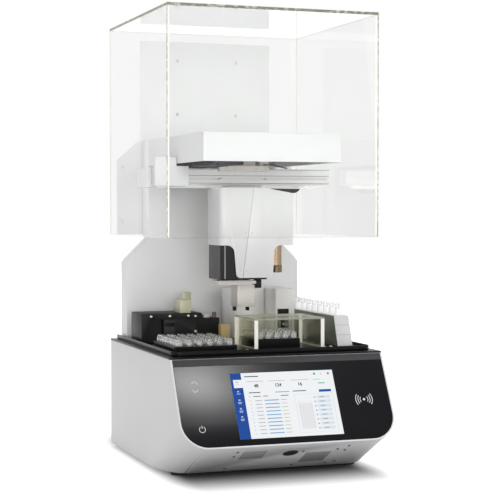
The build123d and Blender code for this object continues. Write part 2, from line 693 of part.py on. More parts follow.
with BuildPart() as middle_vials:
    add(vial_grid(Plane.XY.offset(252), MIDDLE_CENTRE, MIDDLE_PITCH, MIDDLE_COUNT, VIAL_RADIUS))
    extrude(amount=28)
middle_vials.part.label = "middle_vials"
export_step(middle_vials.part, "parts/middle_vials.step")

with BuildPart() as draft_shield:
    block(-24, 130, 58, 182, DECK_TOP, 309)
    block(-16, 122, 57, 176, DECK_TOP - 1, 306, mode=Mode.SUBTRACT)
draft_shield.part.label = "draft_shield"
export_step(draft_shield.part, "parts/draft_shield.step")

with BuildPart() as tube_rack:
    with BuildSketch(Plane.YZ.offset(TUBE_RACK_LEFT)) as tube_rack_side:
        with BuildLine():
            Polyline(
                (HOOD_FRONT + 70, DECK_TOP),
                (HOOD_FRONT + 337, DECK_TOP),
                (HOOD_FRONT + 356, 309),
                (HOOD_FRONT + 92, 309),
                close=True,
            )
        make_face()
    extrude(amount=34)
    with BuildSketch(Plane.YZ.offset(TUBE_RACK_LEFT + 4)) as tube_rack_hollow:
        with BuildLine():
            Polyline(
                (HOOD_FRONT + 75, DECK_TOP - 1),
                (HOOD_FRONT + 331, DECK_TOP - 1),
                (HOOD_FRONT + 342, 284),
                (HOOD_FRONT + 88, 284),
                close=True,
            )
        make_face()
    extrude(amount=26, mode=Mode.SUBTRACT)
    add(vial_grid(Plane.XY.offset(309), TUBE_CENTRE, (0, TUBE_PITCH), (1, 8), 6.4))
    extrude(amount=-20, mode=Mode.SUBTRACT)
tube_rack.part.label = "tube_rack"
export_step(tube_rack.part, "parts/tube_rack.step")

with BuildPart() as tubes:
    add(vial_grid(Plane.XY.offset(289), TUBE_CENTRE, (0, TUBE_PITCH), (1, 8), 6))
    extrude(amount=45)
tubes.part.label = "tubes"
export_step(tubes.part, "parts/tubes.step")

# Stations at the rear of the deck
with BuildPart() as capper_housing:
    block(-203, -65, CAPPER_FRONT, 355, DECK_TOP, 309)
    shoulder = capper_housing.edges().filter_by(Axis.Y).group_by(Axis.Z)[-1].sort_by(Axis.X)[-1]
    chamfer(shoulder, 5)
    block(-65, -28, CAPPER_FRONT, 355, DECK_TOP, 297)
    block(-162, -154.5, CAPPER_FRONT - 1, CAPPER_FRONT + 12, DECK_TOP + 4, 296, mode=Mode.SUBTRACT)
    block(-153, -129, CAPPER_FRONT - 1.2, CAPPER_FRONT, 262, 295)
    block(-146, -132, CAPPER_FRONT - 2, CAPPER_FRONT + 8, 281, 288, mode=Mode.SUBTRACT)
    housing_screws = [(-182, 303), (-140, 303), (-98.7, 303), (-82.5, 302), (-82.5, 268.8)]
    heads(wall_at(CAPPER_FRONT), housing_screws, 2.8, 1.2)
    heads(Plane.XY.offset(297), [(-50, HOOD_FRONT + 300)], 9, 6)
    heads(Plane.XY.offset(297), [(-36, HOOD_FRONT + 284)], 4.4, 12)
capper_housing.part.label = "capper_housing"
export_step(capper_housing.part, "parts/capper_housing.step")

with BuildPart() as module_dish:
    block(-116, -92, 275, 324, 309, 337)
    block(-112, -96, 279, 320, 313, 338, mode=Mode.SUBTRACT)
    block(-94, -76, 325, 345, 309, 350.5)
module_dish.part.label = "module_dish"
export_step(module_dish.part, "parts/module_dish.step")

with BuildPart() as tan_block:
    block(-46, -26, 205, 225, DECK_TOP, 288)
    fillet(tan_block.edges().filter_by(Axis.Z), 2)
tan_block.part.label = "tan_block"
export_step(tan_block.part, "parts/tan_block.step")

with BuildPart() as shaker_tower:
    with BuildSketch(Plane.XY.offset(DECK_TOP)) as tower_print:
        with BuildLine():
            Line((149, HOOD_FRONT + 380), (14, HOOD_FRONT + 380))
            Line((14, HOOD_FRONT + 380), (14, HOOD_FRONT + 369))
            ThreePointArc(
                (14, HOOD_FRONT + 369),
                (61, HOOD_FRONT + 319),
                (108, HOOD_FRONT + 369),
            )
            Line((108, HOOD_FRONT + 369), (149, HOOD_FRONT + 369))
            Line((149, HOOD_FRONT + 369), (149, HOOD_FRONT + 380))
        make_face()
    extrude(amount=110)
    block(103, 149, KEYPAD_FRONT, 375, DECK_TOP, 357)
    near_corners = shaker_tower.edges().filter_by(Axis.Z).group_by(Axis.Y)[0]
    fillet(near_corners, 4)
shaker_tower.part.label = "shaker_tower"
export_step(shaker_tower.part, "parts/shaker_tower.step")

with BuildPart() as tower_keypad:
    block(108, 134, KEYPAD_FRONT - 1.5, KEYPAD_FRONT, 270, 313)
    block(108, 134, KEYPAD_FRONT - 2.1, KEYPAD_FRONT - 1.5, 302, 313)
    heads(wall_at(KEYPAD_FRONT - 1.5), [(121, 281)], 6, 2.5)
tower_keypad.part.label = "tower_keypad"
export_step(tower_keypad.part, "parts/tower_keypad.step")
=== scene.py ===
import json
import logging
import math
from collections.abc import Iterable, Sequence
from dataclasses import dataclass, field
from enum import Enum

import bmesh
import bpy
from mathutils import Matrix, Vector


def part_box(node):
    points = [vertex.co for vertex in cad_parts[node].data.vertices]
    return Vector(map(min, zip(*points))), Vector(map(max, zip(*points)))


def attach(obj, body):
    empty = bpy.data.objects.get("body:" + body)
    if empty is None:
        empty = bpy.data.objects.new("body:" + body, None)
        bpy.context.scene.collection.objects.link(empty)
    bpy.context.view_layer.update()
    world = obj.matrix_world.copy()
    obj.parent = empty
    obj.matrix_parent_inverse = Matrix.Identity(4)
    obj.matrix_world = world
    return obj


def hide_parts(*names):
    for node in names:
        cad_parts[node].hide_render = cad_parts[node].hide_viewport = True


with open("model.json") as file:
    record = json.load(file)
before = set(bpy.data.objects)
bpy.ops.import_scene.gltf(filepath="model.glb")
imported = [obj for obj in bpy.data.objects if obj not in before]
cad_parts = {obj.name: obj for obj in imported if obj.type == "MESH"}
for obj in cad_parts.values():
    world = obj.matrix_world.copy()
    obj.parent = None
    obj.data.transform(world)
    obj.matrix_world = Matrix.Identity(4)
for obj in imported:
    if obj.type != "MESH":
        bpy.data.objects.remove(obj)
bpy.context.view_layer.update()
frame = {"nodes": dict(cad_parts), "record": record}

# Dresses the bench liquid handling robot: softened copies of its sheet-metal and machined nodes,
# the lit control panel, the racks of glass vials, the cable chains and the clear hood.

MM = 0.001
Colour = tuple[float, float, float]
Point = tuple[float, float, float]
PANE_EDGE = 0.35 * MM
log = logging.getLogger("liquid_handling_robot")


# ---------------------------------------------------------------- finishes


class Grain(Enum):
    """Which way a finish's fine texture runs: the stretch of its noise along X, Y and Z."""

    EVEN = (1.0, 1.0, 1.0)
    ALONG_X = (0.02, 1.0, 1.0)
    ALONG_Z = (1.0, 1.0, 0.02)


class Wiring:
    """The nodes of one material or world while they are laid out."""

    def __init__(self, tree: bpy.types.NodeTree) -> None:
        """Take the tree to lay out, and find its main shader if it has one."""
        self.tree = tree
        self.shader = tree.nodes.get("Principled BSDF")

    def feed(self, node: bpy.types.Node, inputs: dict[str | int, object]) -> None:
        """Set or link a node's inputs.

        Args:
            node: the node.
            inputs: what goes into each socket, a constant or another node's output.
        """
        for socket, value in inputs.items():
            if isinstance(value, bpy.types.NodeSocket):
                self.tree.links.new(value, node.inputs[socket])
            else:
                node.inputs[socket].default_value = value

    def add(self, kind: str, inputs: dict[str | int, object], output: str | int = 0,
            **settings: object) -> bpy.types.NodeSocket:
        """Add a node.

        Args:
            kind: its type's name, without the ShaderNode that it starts with.
            inputs: what goes into its sockets.
            output: which of its outputs is wanted.
            settings: its own settings, which come before its inputs.

        Returns:
            The output's socket.
        """
        node = self.tree.nodes.new(f"ShaderNode{kind}")
        for key, value in settings.items():
            setattr(node, key, value)
        self.feed(node, inputs)
        return node.outputs[output]

    def place(self) -> bpy.types.NodeSocket:
        """The place on the object, in its own axes."""
        return self.add("TexCoord", {}, "Object")

    def noise(self, place: bpy.types.NodeSocket, scale: float, detail: float = 2.0) -> bpy.types.NodeSocket:
        """A noise texture's value.

        Args:
            place: the coordinates that it reads.
            scale: its cells per metre.
            detail: how many finer layers lie over it.

        Returns:
            The socket of its value, from 0 to 1.
        """
        return self.add("TexNoise", {"Vector": place, "Scale": scale, "Detail": detail}, "Fac")

    def blend(self, share: bpy.types.NodeSocket, first: Colour, second: Colour) -> bpy.types.NodeSocket:
        """A colour between two, by a share from 0 to 1."""
        return self.add("Mix", {"A": (*first, 1), "B": (*second, 1), "Factor": share}, "Result", data_type="RGBA")


class Paint:
    """What every finish shares: its material is made once and found again after that."""

    name: str

    def material(self) -> bpy.types.Material:
        """Make the material, or find it where another piece has made it.

        Returns:
            The node material.
        """
        made = bpy.data.materials.get(self.name)
        if not made:
            made = bpy.data.materials.new(self.name)
            made.use_nodes = True
            self.wire(Wiring(made.node_tree))
        return made

    def wire(self, wiring: Wiring) -> None:
        """Lay out the material's nodes, which each finish does in its own way."""
        raise NotImplementedError


@dataclass(frozen=True)
class Finish(Paint):
    """A solid finish with a fine procedural texture.

    The colour drifts a little over the surface, the roughness follows the grain, and the grain
    stands out as a shallow bump.
    """

    name: str
    colour: Colour
    roughness: float = 0.5
    metallic: float = 0.0
    grain: Grain = Grain.EVEN
    grain_size: float = 1.2 * MM
    relief: float = 0.05
    coat: float = 0.0
    drift: float = 0.03
    # glow is painted light: an emission that makes a part shine though it is no lamp
    glow: float = 0.0
    shine: float = 0.5

    def wire(self, wiring: Wiring) -> None:
        """Lay out the nodes of the drifting colour, the grained roughness and the bump.

        Args:
            wiring: the material's nodes.
        """
        turned = wiring.add("Mapping", {"Scale": self.grain.value, "Vector": wiring.place()})
        fine = wiring.noise(turned, 1 / self.grain_size, 3)
        light, dark = [tuple(min(1, c * (1 + way * self.drift)) for c in self.colour) for way in (1, -1)]
        rough = wiring.add("MapRange", {"Value": fine, "To Min": max(0, self.roughness - 0.06),
                                        "To Max": min(1, self.roughness + 0.06)})
        wiring.feed(wiring.shader, {
            "Metallic": self.metallic, "Coat Weight": self.coat, "Coat Roughness": 0.03,
            "Specular IOR Level": self.shine, "Roughness": rough,
            "Base Color": wiring.blend(wiring.noise(turned, 12), light, dark)})
        if self.glow:
            wiring.feed(wiring.shader, {"Emission Color": (*self.colour, 1), "Emission Strength": self.glow})
        if self.relief:
            bump = wiring.add("Bump", {"Strength": self.relief, "Distance": self.grain_size / 4, "Height": fine})
            wiring.feed(wiring.shader, {"Normal": bump})


@dataclass(frozen=True)
class ScreenFinish(Paint):
    """A lit colour behind glass, faintly uneven as a backlight is."""

    name: str
    colour: Colour
    light: float = 0.92

    def wire(self, wiring: Wiring) -> None:
        """Lay out the nodes of the uneven light.

        Args:
            wiring: the material's nodes.
        """
        level = wiring.add("MapRange", {"Value": wiring.noise(wiring.place(), 9),
                                        "To Min": self.light * 0.97, "To Max": self.light})
        wiring.feed(wiring.shader, {
            "Base Color": (*[c * 0.05 for c in self.colour], 1), "Roughness": 0.2, "Specular IOR Level": 0.15,
            "Emission Color": (*self.colour, 1), "Emission Strength": level})


@dataclass(frozen=True)
class ClearFinish(Paint):
    """Clear acrylic or glass, which lets light from lamps straight through.

    Its open share is how much of it is seen through without any reflection or bending.
    """

    name: str
    tint: Colour
    roughness: float = 0.01
    ior: float = 1.49
    shade: Colour = (0.97, 0.98, 0.96)
    clear: float = 1.0
    shine: float = 0.5
    open_share: float = 0.0

    def wire(self, wiring: Wiring) -> None:
        """Lay out the nodes of the glass and of the way that is open to lamps.

        Args:
            wiring: the material's nodes.
        """
        wiring.feed(wiring.shader, {
            "Base Color": (*self.tint, 1), "Roughness": self.roughness, "IOR": self.ior,
            "Transmission Weight": self.clear, "Specular IOR Level": self.shine})
        shadow = wiring.add("LightPath", {}, "Is Shadow Ray")
        share = wiring.add("Math", {0: shadow, 1: self.open_share}, operation="MAXIMUM")
        open_way = wiring.add("BsdfTransparent", {"Color": (*self.shade, 1)})
        mixed = wiring.add("MixShader", {0: share, 1: wiring.shader.outputs["BSDF"], 2: open_way})
        wiring.feed(wiring.tree.nodes["Material Output"], {"Surface": mixed})


@dataclass(frozen=True)
class SawnEdge(Paint):
    """A pane's sawn edge with painted reflections: bright and dark dashes that follow one another along it."""

    name: str
    bright: Colour
    dark: Colour
    balance: float = 0.5
    dash: float = 14 * MM

    def wire(self, wiring: Wiring) -> None:
        """Lay out the nodes of the dashes.

        Args:
            wiring: the material's nodes.
        """
        cloud = wiring.noise(wiring.place(), 1 / self.dash, 1)
        step = wiring.add("MapRange", {"Value": cloud, "From Min": self.balance - 0.08,
                                       "From Max": self.balance + 0.08})
        wiring.feed(wiring.shader, {"Roughness": 0.25, "Specular IOR Level": 0.4,
                                    "Base Color": wiring.blend(step, self.dark, self.bright)})


AnyFinish = Finish | ScreenFinish | ClearFinish | SawnEdge

WHITE_POWDER = Finish("white_powder_coat", (0.80, 0.80, 0.805), 0.42, relief=0.08, grain_size=0.9 * MM,
                      shine=0.3)
WHITE_MOULDED = Finish("white_moulded", (0.81, 0.81, 0.81), 0.3, relief=0.04, coat=0.1)
# Painted light: the tubes' white glows, though the tubes are no lamp.
TUBE_WHITE_GLOWING = Finish("tube_white", (0.9, 0.9, 0.9), 0.3, relief=0.02, glow=0.25)
CREAM_MOULDED = Finish("cream_moulded", (0.80, 0.79, 0.76), 0.35, relief=0.05)
GREY_POWDER = Finish("grey_powder_coat", (0.35, 0.35, 0.355), 0.5, relief=0.08)
STRIP_GREY = Finish("strip_matt_grey", (0.05, 0.05, 0.052), 0.38, relief=0.05, shine=0.25)
PANEL_BLACK = Finish("panel_black_glass", (0.0015, 0.0015, 0.002), 0.32, relief=0.0, shine=0.05)
DECK_BLACK = Finish("deck_black", (0.003, 0.003, 0.003), 0.3, relief=0.06, grain_size=0.7 * MM, shine=0.13)
MATT_BLACK = Finish("matt_black", (0.009, 0.009, 0.009), 0.5, relief=0.08, shine=0.22)
HOUSING_GREY = Finish("housing_dark_grey", (0.03, 0.03, 0.032), 0.5, relief=0.08, shine=0.25)
CHAIN_BLACK = Finish("chain_black", (0.012, 0.012, 0.013), 0.4, relief=0.05, shine=0.3)
ANODISED_BLACK = Finish("anodised_black", (0.010, 0.008, 0.009), 0.36, relief=0.05, shine=0.25)
ANODISED_GREY = Finish("anodised_dark_grey", (0.07, 0.07, 0.072), 0.45, relief=0.05, shine=0.3)
RUBBER = Finish("rubber_black", (0.02, 0.02, 0.02), 0.8, relief=0.2)
BRUSHED = Finish("brushed_aluminium", (0.60, 0.60, 0.595), 0.36, 0.7, Grain.ALONG_X, 0.5 * MM, 0.12)
WARM_STEEL = Finish("warm_steel_plate", (0.60, 0.565, 0.53), 0.42, 0.35, Grain.ALONG_X, 0.5 * MM, 0.08)
COLLAR_BRONZE = Finish("collar_bronze", (0.17, 0.12, 0.075), 0.35, 0.6, relief=0.05)
GROUND_STEEL = Finish("ground_steel", (0.6, 0.6, 0.6), 0.22, 1.0, Grain.ALONG_Z, 0.4 * MM, 0.06)
SCREW_STEEL = Finish("screw_steel", (0.62, 0.62, 0.62), 0.28, 1.0, relief=0.02)
LABEL_GREY = Finish("bare_plate_grey", (0.42, 0.42, 0.42), 0.45, 0.3, relief=0.02)
# Painted light: the panel marks glow, though they are no lamp, so that they stay bright in the glass's
# reflection.
ICON_GREY_GLOWING = Finish("icon_light_grey", (0.6, 0.6, 0.6), 0.4, relief=0.0, glow=0.24)
RACK_FROSTED = Finish("rack_frosted", (0.72, 0.73, 0.72), 0.3, relief=0.02, coat=0.3)
# Painted shade: the tube rack's left-facing side takes this dark finish.
RACK_SHADED_SIDE = Finish("rack_shaded_side", (0.16, 0.17, 0.145), 0.12, relief=0.0, coat=0.3)
TAN = Finish("tan_moulded", (0.5, 0.37, 0.17), 0.45, relief=0.06)
BROWN = Finish("brown_moulded", (0.16, 0.09, 0.06), 0.4, relief=0.05)
BOARD_GREEN = Finish("circuit_board", (0.02, 0.12, 0.05), 0.45, relief=0.1)
# Painted light on sawn acrylic edges: the cream edge glows, and the grey edge is a darker copy that stands for
# shade.
CREAM_EDGE_GLOWING = Finish("acrylic_edge_cream_painted_glow", (0.84, 0.83, 0.76), 0.25, relief=0.02, glow=0.2)
GREY_EDGE_SHADED = Finish("acrylic_edge_grey_shaded", (0.36, 0.37, 0.32), 0.3, relief=0.02)
# Painted reflections: the hood's sawn edges carry bright and dark dashes; the top panel's are darker, painted
# shade.
HOOD_EDGE = SawnEdge("hood_edge_dashed", (0.84, 0.84, 0.74), (0.30, 0.31, 0.22), 0.52, 8 * MM)
TOP_EDGE = SawnEdge("hood_edge_shaded_dashes", (0.60, 0.60, 0.52), (0.26, 0.27, 0.20), 0.58, 9 * MM)
ACRYLIC = ClearFinish("acrylic_clear", (0.945, 0.95, 0.945), ior=1.3, shine=0.35)
SHIELD_ACRYLIC = ClearFinish("acrylic_shield", (0.93, 0.94, 0.84), ior=1.2, shade=(0.95, 0.95, 0.89),
                             shine=0.3, open_share=0.7)
VIAL_GLASS = ClearFinish("vial_glass", (0.95, 0.96, 0.95), ior=1.47, clear=0.94)
CAP_GLASS = ClearFinish("tube_cap_clear", (0.95, 0.955, 0.95), 0.08, clear=0.5)
AMBER = ClearFinish("amber_plastic", (0.72, 0.5, 0.3), 0.15)
YELLOWISH = Finish("yellowish_plastic", (0.62, 0.60, 0.42), 0.25, relief=0.03, coat=0.3)


# ---------------------------------------------------------------- shapes


@dataclass(frozen=True)
class Box:
    """The box of one or more CAD nodes, in the row frame."""

    low: Vector
    high: Vector

    @classmethod
    def of(cls, *nodes: str) -> "Box":
        """The box round some CAD nodes.

        Args:
            nodes: the nodes' names.

        Returns:
            Their common box.
        """
        corners = [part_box(node) for node in nodes]
        low = Vector([min(c[0][i] for c in corners) for i in range(3)])
        high = Vector([max(c[1][i] for c in corners) for i in range(3)])
        return cls(low, high)

    def at(self, across: float, along: float, up: float) -> Vector:
        """A point of the box, by shares of its size.

        Args:
            across: the share along X, from 0 to 1.
            along: the share along Y.
            up: the share along Z.

        Returns:
            The point.
        """
        size = self.high - self.low
        return self.low + Vector((across * size.x, along * size.y, up * size.z))


class Piece:
    """One piece's mesh while it is made, in the row frame in metres."""

    def __init__(self, name: str) -> None:
        """Start an empty mesh.

        Args:
            name: the piece's name.
        """
        self.name = name
        self.mesh = bmesh.new()
        self.paint = 0

    def _take(self, verts: Iterable[bmesh.types.BMVert]) -> list[bmesh.types.BMFace]:
        """Give the faces between some new vertices the current paint.

        Args:
            verts: the vertices that were just made.

        Returns:
            The faces that lie wholly between them.
        """
        new = set(verts)
        faces = [f for f in {f for v in new for f in v.link_faces} if set(f.verts) <= new]
        for face in faces:
            face.material_index = self.paint
        return faces

    def block(self, low: Sequence[float], high: Sequence[float], round_: float = 0.0,
              place: Matrix | None = None) -> list[bmesh.types.BMFace]:
        """Add a straight block, with its edges rounded if asked.

        Args:
            low: its lowest corner.
            high: its highest corner.
            round_: radius of its edges.
            place: turns it from its own axes to the frame's.

        Returns:
            Its faces, before any rounding.
        """
        low, high = Vector(low), Vector(high)
        size, middle = high - low, (high + low) / 2
        made = bmesh.ops.create_cube(self.mesh, size=1)["verts"]
        bmesh.ops.transform(self.mesh, verts=made,
                            matrix=Matrix.Translation(middle) @ Matrix.Diagonal((*size, 1)))
        faces = self._take(made)
        if round_:
            edges = list({e for f in faces for e in f.edges})
            out = self.bevel(edges, round_)
            made = list({v for f in out for v in f.verts} | {v for f in faces if f.is_valid for v in f.verts})
        if place is not None:
            bmesh.ops.transform(self.mesh, verts=[v for v in made if v.is_valid], matrix=place)
        return faces

    def bevel(self, edges: list[bmesh.types.BMEdge], width: float, segments: int = 2) -> list:
        """Round some edges.

        Args:
            edges: the edges.
            width: how far the rounding reaches.
            segments: steps across it.

        Returns:
            The new faces.
        """
        out = bmesh.ops.bevel(self.mesh, geom=edges, offset=width, offset_type="OFFSET", segments=segments,
                              profile=0.5, affect="EDGES", clamp_overlap=True, material=-1)
        for face in out["faces"]:
            face.material_index = self.paint
        return out["faces"]

    def rod(self, start: Sequence[float], end: Sequence[float], radius: float, steps: int = 24,
            end_radius: float | None = None) -> None:
        """Add a round bar between two points.

        Args:
            start: the middle of its first end.
            end: the middle of its last end.
            radius: its radius.
            steps: how many sides it has.
            end_radius: its last end's radius, where it tapers.
        """
        start, end = Vector(start), Vector(end)
        run = end - start
        turn = run.to_track_quat("Z", "Y").to_matrix().to_4x4()
        made = bmesh.ops.create_cone(
            self.mesh, cap_ends=True, segments=steps, radius1=radius,
            radius2=radius if end_radius is None else end_radius, depth=run.length,
            matrix=Matrix.Translation((start + end) / 2) @ turn)["verts"]
        self._take(made)

    def lathe(self, foot: Sequence[float], profile: Sequence[tuple[float, float]],
              axis: Sequence[float] = (0, 0, 1), steps: int = 24) -> None:
        """Spin a profile about an axis through a foot point.

        Args:
            foot: the point on the axis at height 0.
            profile: (radius, height) points along the outline.
            axis: the direction of height.
            steps: how many sides the round has.
        """
        axis = Vector(axis).normalized()
        side = axis.orthogonal().normalized()
        foot = Vector(foot)
        chain = [self.mesh.verts.new(foot + side * r + axis * h) for r, h in profile]
        edges = [self.mesh.edges.new(pair) for pair in zip(chain, chain[1:])]
        before = set(self.mesh.faces)
        bmesh.ops.spin(self.mesh, geom=chain + edges, cent=foot, axis=axis, angle=math.tau,
                       steps=steps, use_merge=True, use_duplicate=False)
        for face in set(self.mesh.faces) - before:
            face.material_index = self.paint

    def prism(self, outline: Sequence[Sequence[float]], run: Sequence[float]) -> list[bmesh.types.BMFace]:
        """Add a prism from a flat outline along a direction.

        Args:
            outline: the corners of its first face.
            run: from the first face to the last.

        Returns:
            All its faces.
        """
        first = self.mesh.faces.new([self.mesh.verts.new(p) for p in outline])
        made = bmesh.ops.extrude_face_region(self.mesh, geom=[first])["geom"]
        moved = [v for v in made if isinstance(v, bmesh.types.BMVert)]
        bmesh.ops.translate(self.mesh, verts=moved, vec=Vector(run))
        return self._take(list(first.verts) + moved)

    def move(self, matrix: Matrix) -> None:
        """Move the whole mesh by a matrix."""
        bmesh.ops.transform(self.mesh, verts=self.mesh.verts, matrix=matrix)

    def done(self, body: str, finishes: Sequence[AnyFinish], replaces: Sequence[str] = (),
             smooth: float = 35.0) -> bpy.types.Object:
        """Close the mesh and make it an object that rides on a body.

        Args:
            body: the CAD body that it moves with.
            finishes: its finishes, in the order of its paint numbers.
            replaces: the CAD nodes that it stands for.
            smooth: edges turned by more degrees than this stay sharp.

        Returns:
            The object.
        """
        bmesh.ops.remove_doubles(self.mesh, verts=self.mesh.verts, dist=1e-6)
        bmesh.ops.recalc_face_normals(self.mesh, faces=self.mesh.faces)
        data = bpy.data.meshes.new(self.name)
        self.mesh.to_mesh(data)
        self.mesh.free()
        return dress(data, self.name, body, finishes, replaces, smooth)


def dress(data: bpy.types.Mesh, name: str, body: str, finishes: Sequence[AnyFinish],
          replaces: Sequence[str] = (), smooth: float = 35.0) -> bpy.types.Object:
    """Make an object of a finished mesh, give it its finishes and let it ride.

    Args:
        data: the mesh.
        name: the piece's name.
        body: the CAD body that it moves with.
        finishes: its finishes, in the order of its material numbers.
        replaces: the CAD nodes that it stands for.
        smooth: edges turned by more degrees than this stay sharp.

    Returns:
        The object.
    """
    for finish in finishes:
        data.materials.append(finish.material())
    data.polygons.foreach_set("use_smooth", [True] * len(data.polygons))
    data.set_sharp_from_angle(angle=math.radians(smooth))
    made = bpy.data.objects.new(name, data)
    bpy.context.scene.collection.objects.link(made)
    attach(made, body)
    if replaces:
        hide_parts(*replaces)
    log.info("%s on %s: %d faces", name, body, len(data.polygons))
    return made


def body_of_node(node: str) -> str:
    """Find the body that a CAD node belongs to.

    Args:
        node: the CAD node.

    Returns:
        The body's name.
    """
    bodies = frame["record"]["behaviour"]["bodies"]
    return next(body for body, nodes in bodies.items() if node in nodes)


def soften(node: str, finish: AnyFinish, width: float, segments: int = 2) -> bpy.types.Object:
    """Replace a CAD node with a copy whose sharp edges are rounded.

    Args:
        node: the CAD node.
        finish: the copy's finish.
        width: how far the rounding reaches, in metres.
        segments: steps across it.

    Returns:
        The copy.
    """
    mesh = bmesh.new()
    mesh.from_mesh(frame["nodes"][node].data)
    bmesh.ops.remove_doubles(mesh, verts=mesh.verts, dist=1e-6)
    bmesh.ops.dissolve_limit(mesh, angle_limit=math.radians(0.6), verts=mesh.verts, edges=mesh.edges)
    sharp = [e for e in mesh.edges if len(e.link_faces) == 2 and e.calc_face_angle(0) > math.radians(32)]
    bmesh.ops.bevel(mesh, geom=sharp, offset=width, offset_type="OFFSET", segments=segments, profile=0.5,
                    affect="EDGES", clamp_overlap=True, material=-1)
    data = bpy.data.meshes.new(f"{node}_softened")
    for face in mesh.faces:
        face.material_index = 0
    mesh.to_mesh(data)
    mesh.free()
    return dress(data, f"{node}_softened", body_of_node(node), [finish], [node])


def coat(node: str, finish: AnyFinish) -> None:
    """Give its finish to a CAD node that stays as it is.

    Args:
        node: the CAD node.
        finish: its finish.
    """
    slots = frame["nodes"][node].data.materials
    for i in range(len(slots)):
        slots[i] = finish.material()
    if not slots:
        slots.append(finish.material())


def button_head(piece: Piece, seat: Sequence[float], axis: Sequence[float], radius: float) -> None:
    """Add a button-head screw with a round socket to a piece.

    Args:
        piece: the piece that it joins.
        seat: the middle of the face that it sits on.
        axis: the way it points.
        radius: its head's radius.
    """
    high = radius * 0.55
    profile = [(0, high * 0.45), (radius * 0.42, high * 0.45), (radius * 0.45, high), (radius * 0.62, high),
               (radius * 0.88, high * 0.68), (radius, high * 0.2), (radius, 0), (0, 0)]
    piece.lathe(seat, profile, axis, 16)


def acrylic_pane(name: str, low: Sequence[float], high: Sequence[float], body: str, clear: ClearFinish,
                 edge: AnyFinish, nodes: Sequence[str]) -> None:
    """Make a pane that is clear on its faces and has painted light on its sawn edges.

    Args:
        name: the piece's name.
        low: its lowest corner.
        high: its highest corner.
        body: the body that it rides on.
        clear: the finish of its faces.
        edge: the finish of its sawn edges.
        nodes: the CAD nodes that it stands for.
    """
    size = Vector(high) - Vector(low)
    thin = min(range(3), key=lambda i: size[i])
    piece = Piece(name)
    piece.block(low, high)
    piece.bevel(list(piece.mesh.edges), PANE_EDGE, 1)
    piece.mesh.normal_update()
    for face in piece.mesh.faces:
        face.material_index = 0 if abs(face.normal[thin]) > 0.95 else 1
    piece.done(body, [clear, edge], nodes)


def takers(lamp: str) -> bpy.types.Collection:
    """Find the pieces that one lamp shines on alone, in a collection made at its first use.

    Args:
        lamp: the lamp's name.

    Returns:
        The collection.
    """
    name = f"{lamp}_takers"
    return bpy.data.collections.get(name) or bpy.data.collections.new(name)


def slope_matrix(origin: Vector, normal: Vector) -> Matrix:
    """Make the matrix of a plane that keeps X.

    Args:
        origin: the plane's own origin.
        normal: the way that it faces.

    Returns:
        The matrix, whose Y runs up the slope.
    """
    across = Vector((1, 0, 0))
    up = normal.cross(across)
    turn = Matrix((across, up, normal)).transposed().to_4x4()
    return Matrix.Translation(origin) @ turn


# The slope that the control panel lies on and the chin below it.
TILT = math.radians(28)
PANEL_LENGTH = 185.7 * MM
HOOD_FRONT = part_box("hood_front_panel")[0].y
BASE_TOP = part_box("deck_plate")[0].z
PANEL_EDGE = Vector((0, HOOD_FRONT - 16 * MM, BASE_TOP))
PANEL = slope_matrix(PANEL_EDGE, Vector((0, -math.cos(TILT), math.sin(TILT))))
NOSE = PANEL @ Vector((0, -PANEL_LENGTH, 0))
CHIN = slope_matrix(NOSE, Vector((0, -math.sin(TILT), -math.cos(TILT))))


# ---------------------------------------------------------------- sub-assemblies


@dataclass
class Base:
    """The white base shell on its feet, with what is let into its rear and its chin."""

    edge: float = 1.0 * MM
    plate_edge: float = 0.4 * MM
    label_thickness: float = 0.25 * MM
    screw_radius: float = 3.0 * MM
    screw_places: tuple[tuple[float, float], ...] = (
        (-108, 27), (-108, 52), (-106, 123), (126, 25), (126, 50), (128, 118), (34, 43), (107, 41), (37, 125),
        (110, 124))

    def build(self) -> None:
        """Make every piece of the base."""
        soften("base_shell", WHITE_POWDER, self.edge)
        soften("bottom_plate", GREY_POWDER, self.plate_edge, 1)
        soften("rubber_feet", RUBBER, self.plate_edge, 1)
        soften("chin_port_cap", MATT_BLACK, self.plate_edge)
        soften("power_inlet", MATT_BLACK, 0.3 * MM, 1)
        soften("rear_sockets", SCREW_STEEL, 0.3 * MM, 1)
        coat("control_electronics", BOARD_GREEN)
        coat("lift_motor", MATT_BLACK)
        self.chin_screws()
        self.chin_plates()

    def chin_screws(self) -> None:
        """The button heads under the chin."""
        piece = Piece("chin_screw_heads")
        outward = CHIN.to_3x3() @ Vector((0, 0, 1))
        for x, along in self.screw_places:
            button_head(piece, CHIN @ Vector((x * MM, -along * MM, 0)), outward, self.screw_radius)
        piece.done("base", [COLLAR_BRONZE], ["chin_screws"])

    def chin_plates(self) -> None:
        """Two bare plates under the chin."""
        for name, (left, right, near, far) in {
            "chin_plate_left": (-94, -45, 26, 72),
            "chin_plate_right": (45, 100, 54, 112),
        }.items():
            piece = Piece(name)
            piece.block((left * MM, -far * MM, -0.1 * MM), (right * MM, -near * MM, self.label_thickness),
                        0.1 * MM, CHIN)
            piece.done("base", [LABEL_GREY])


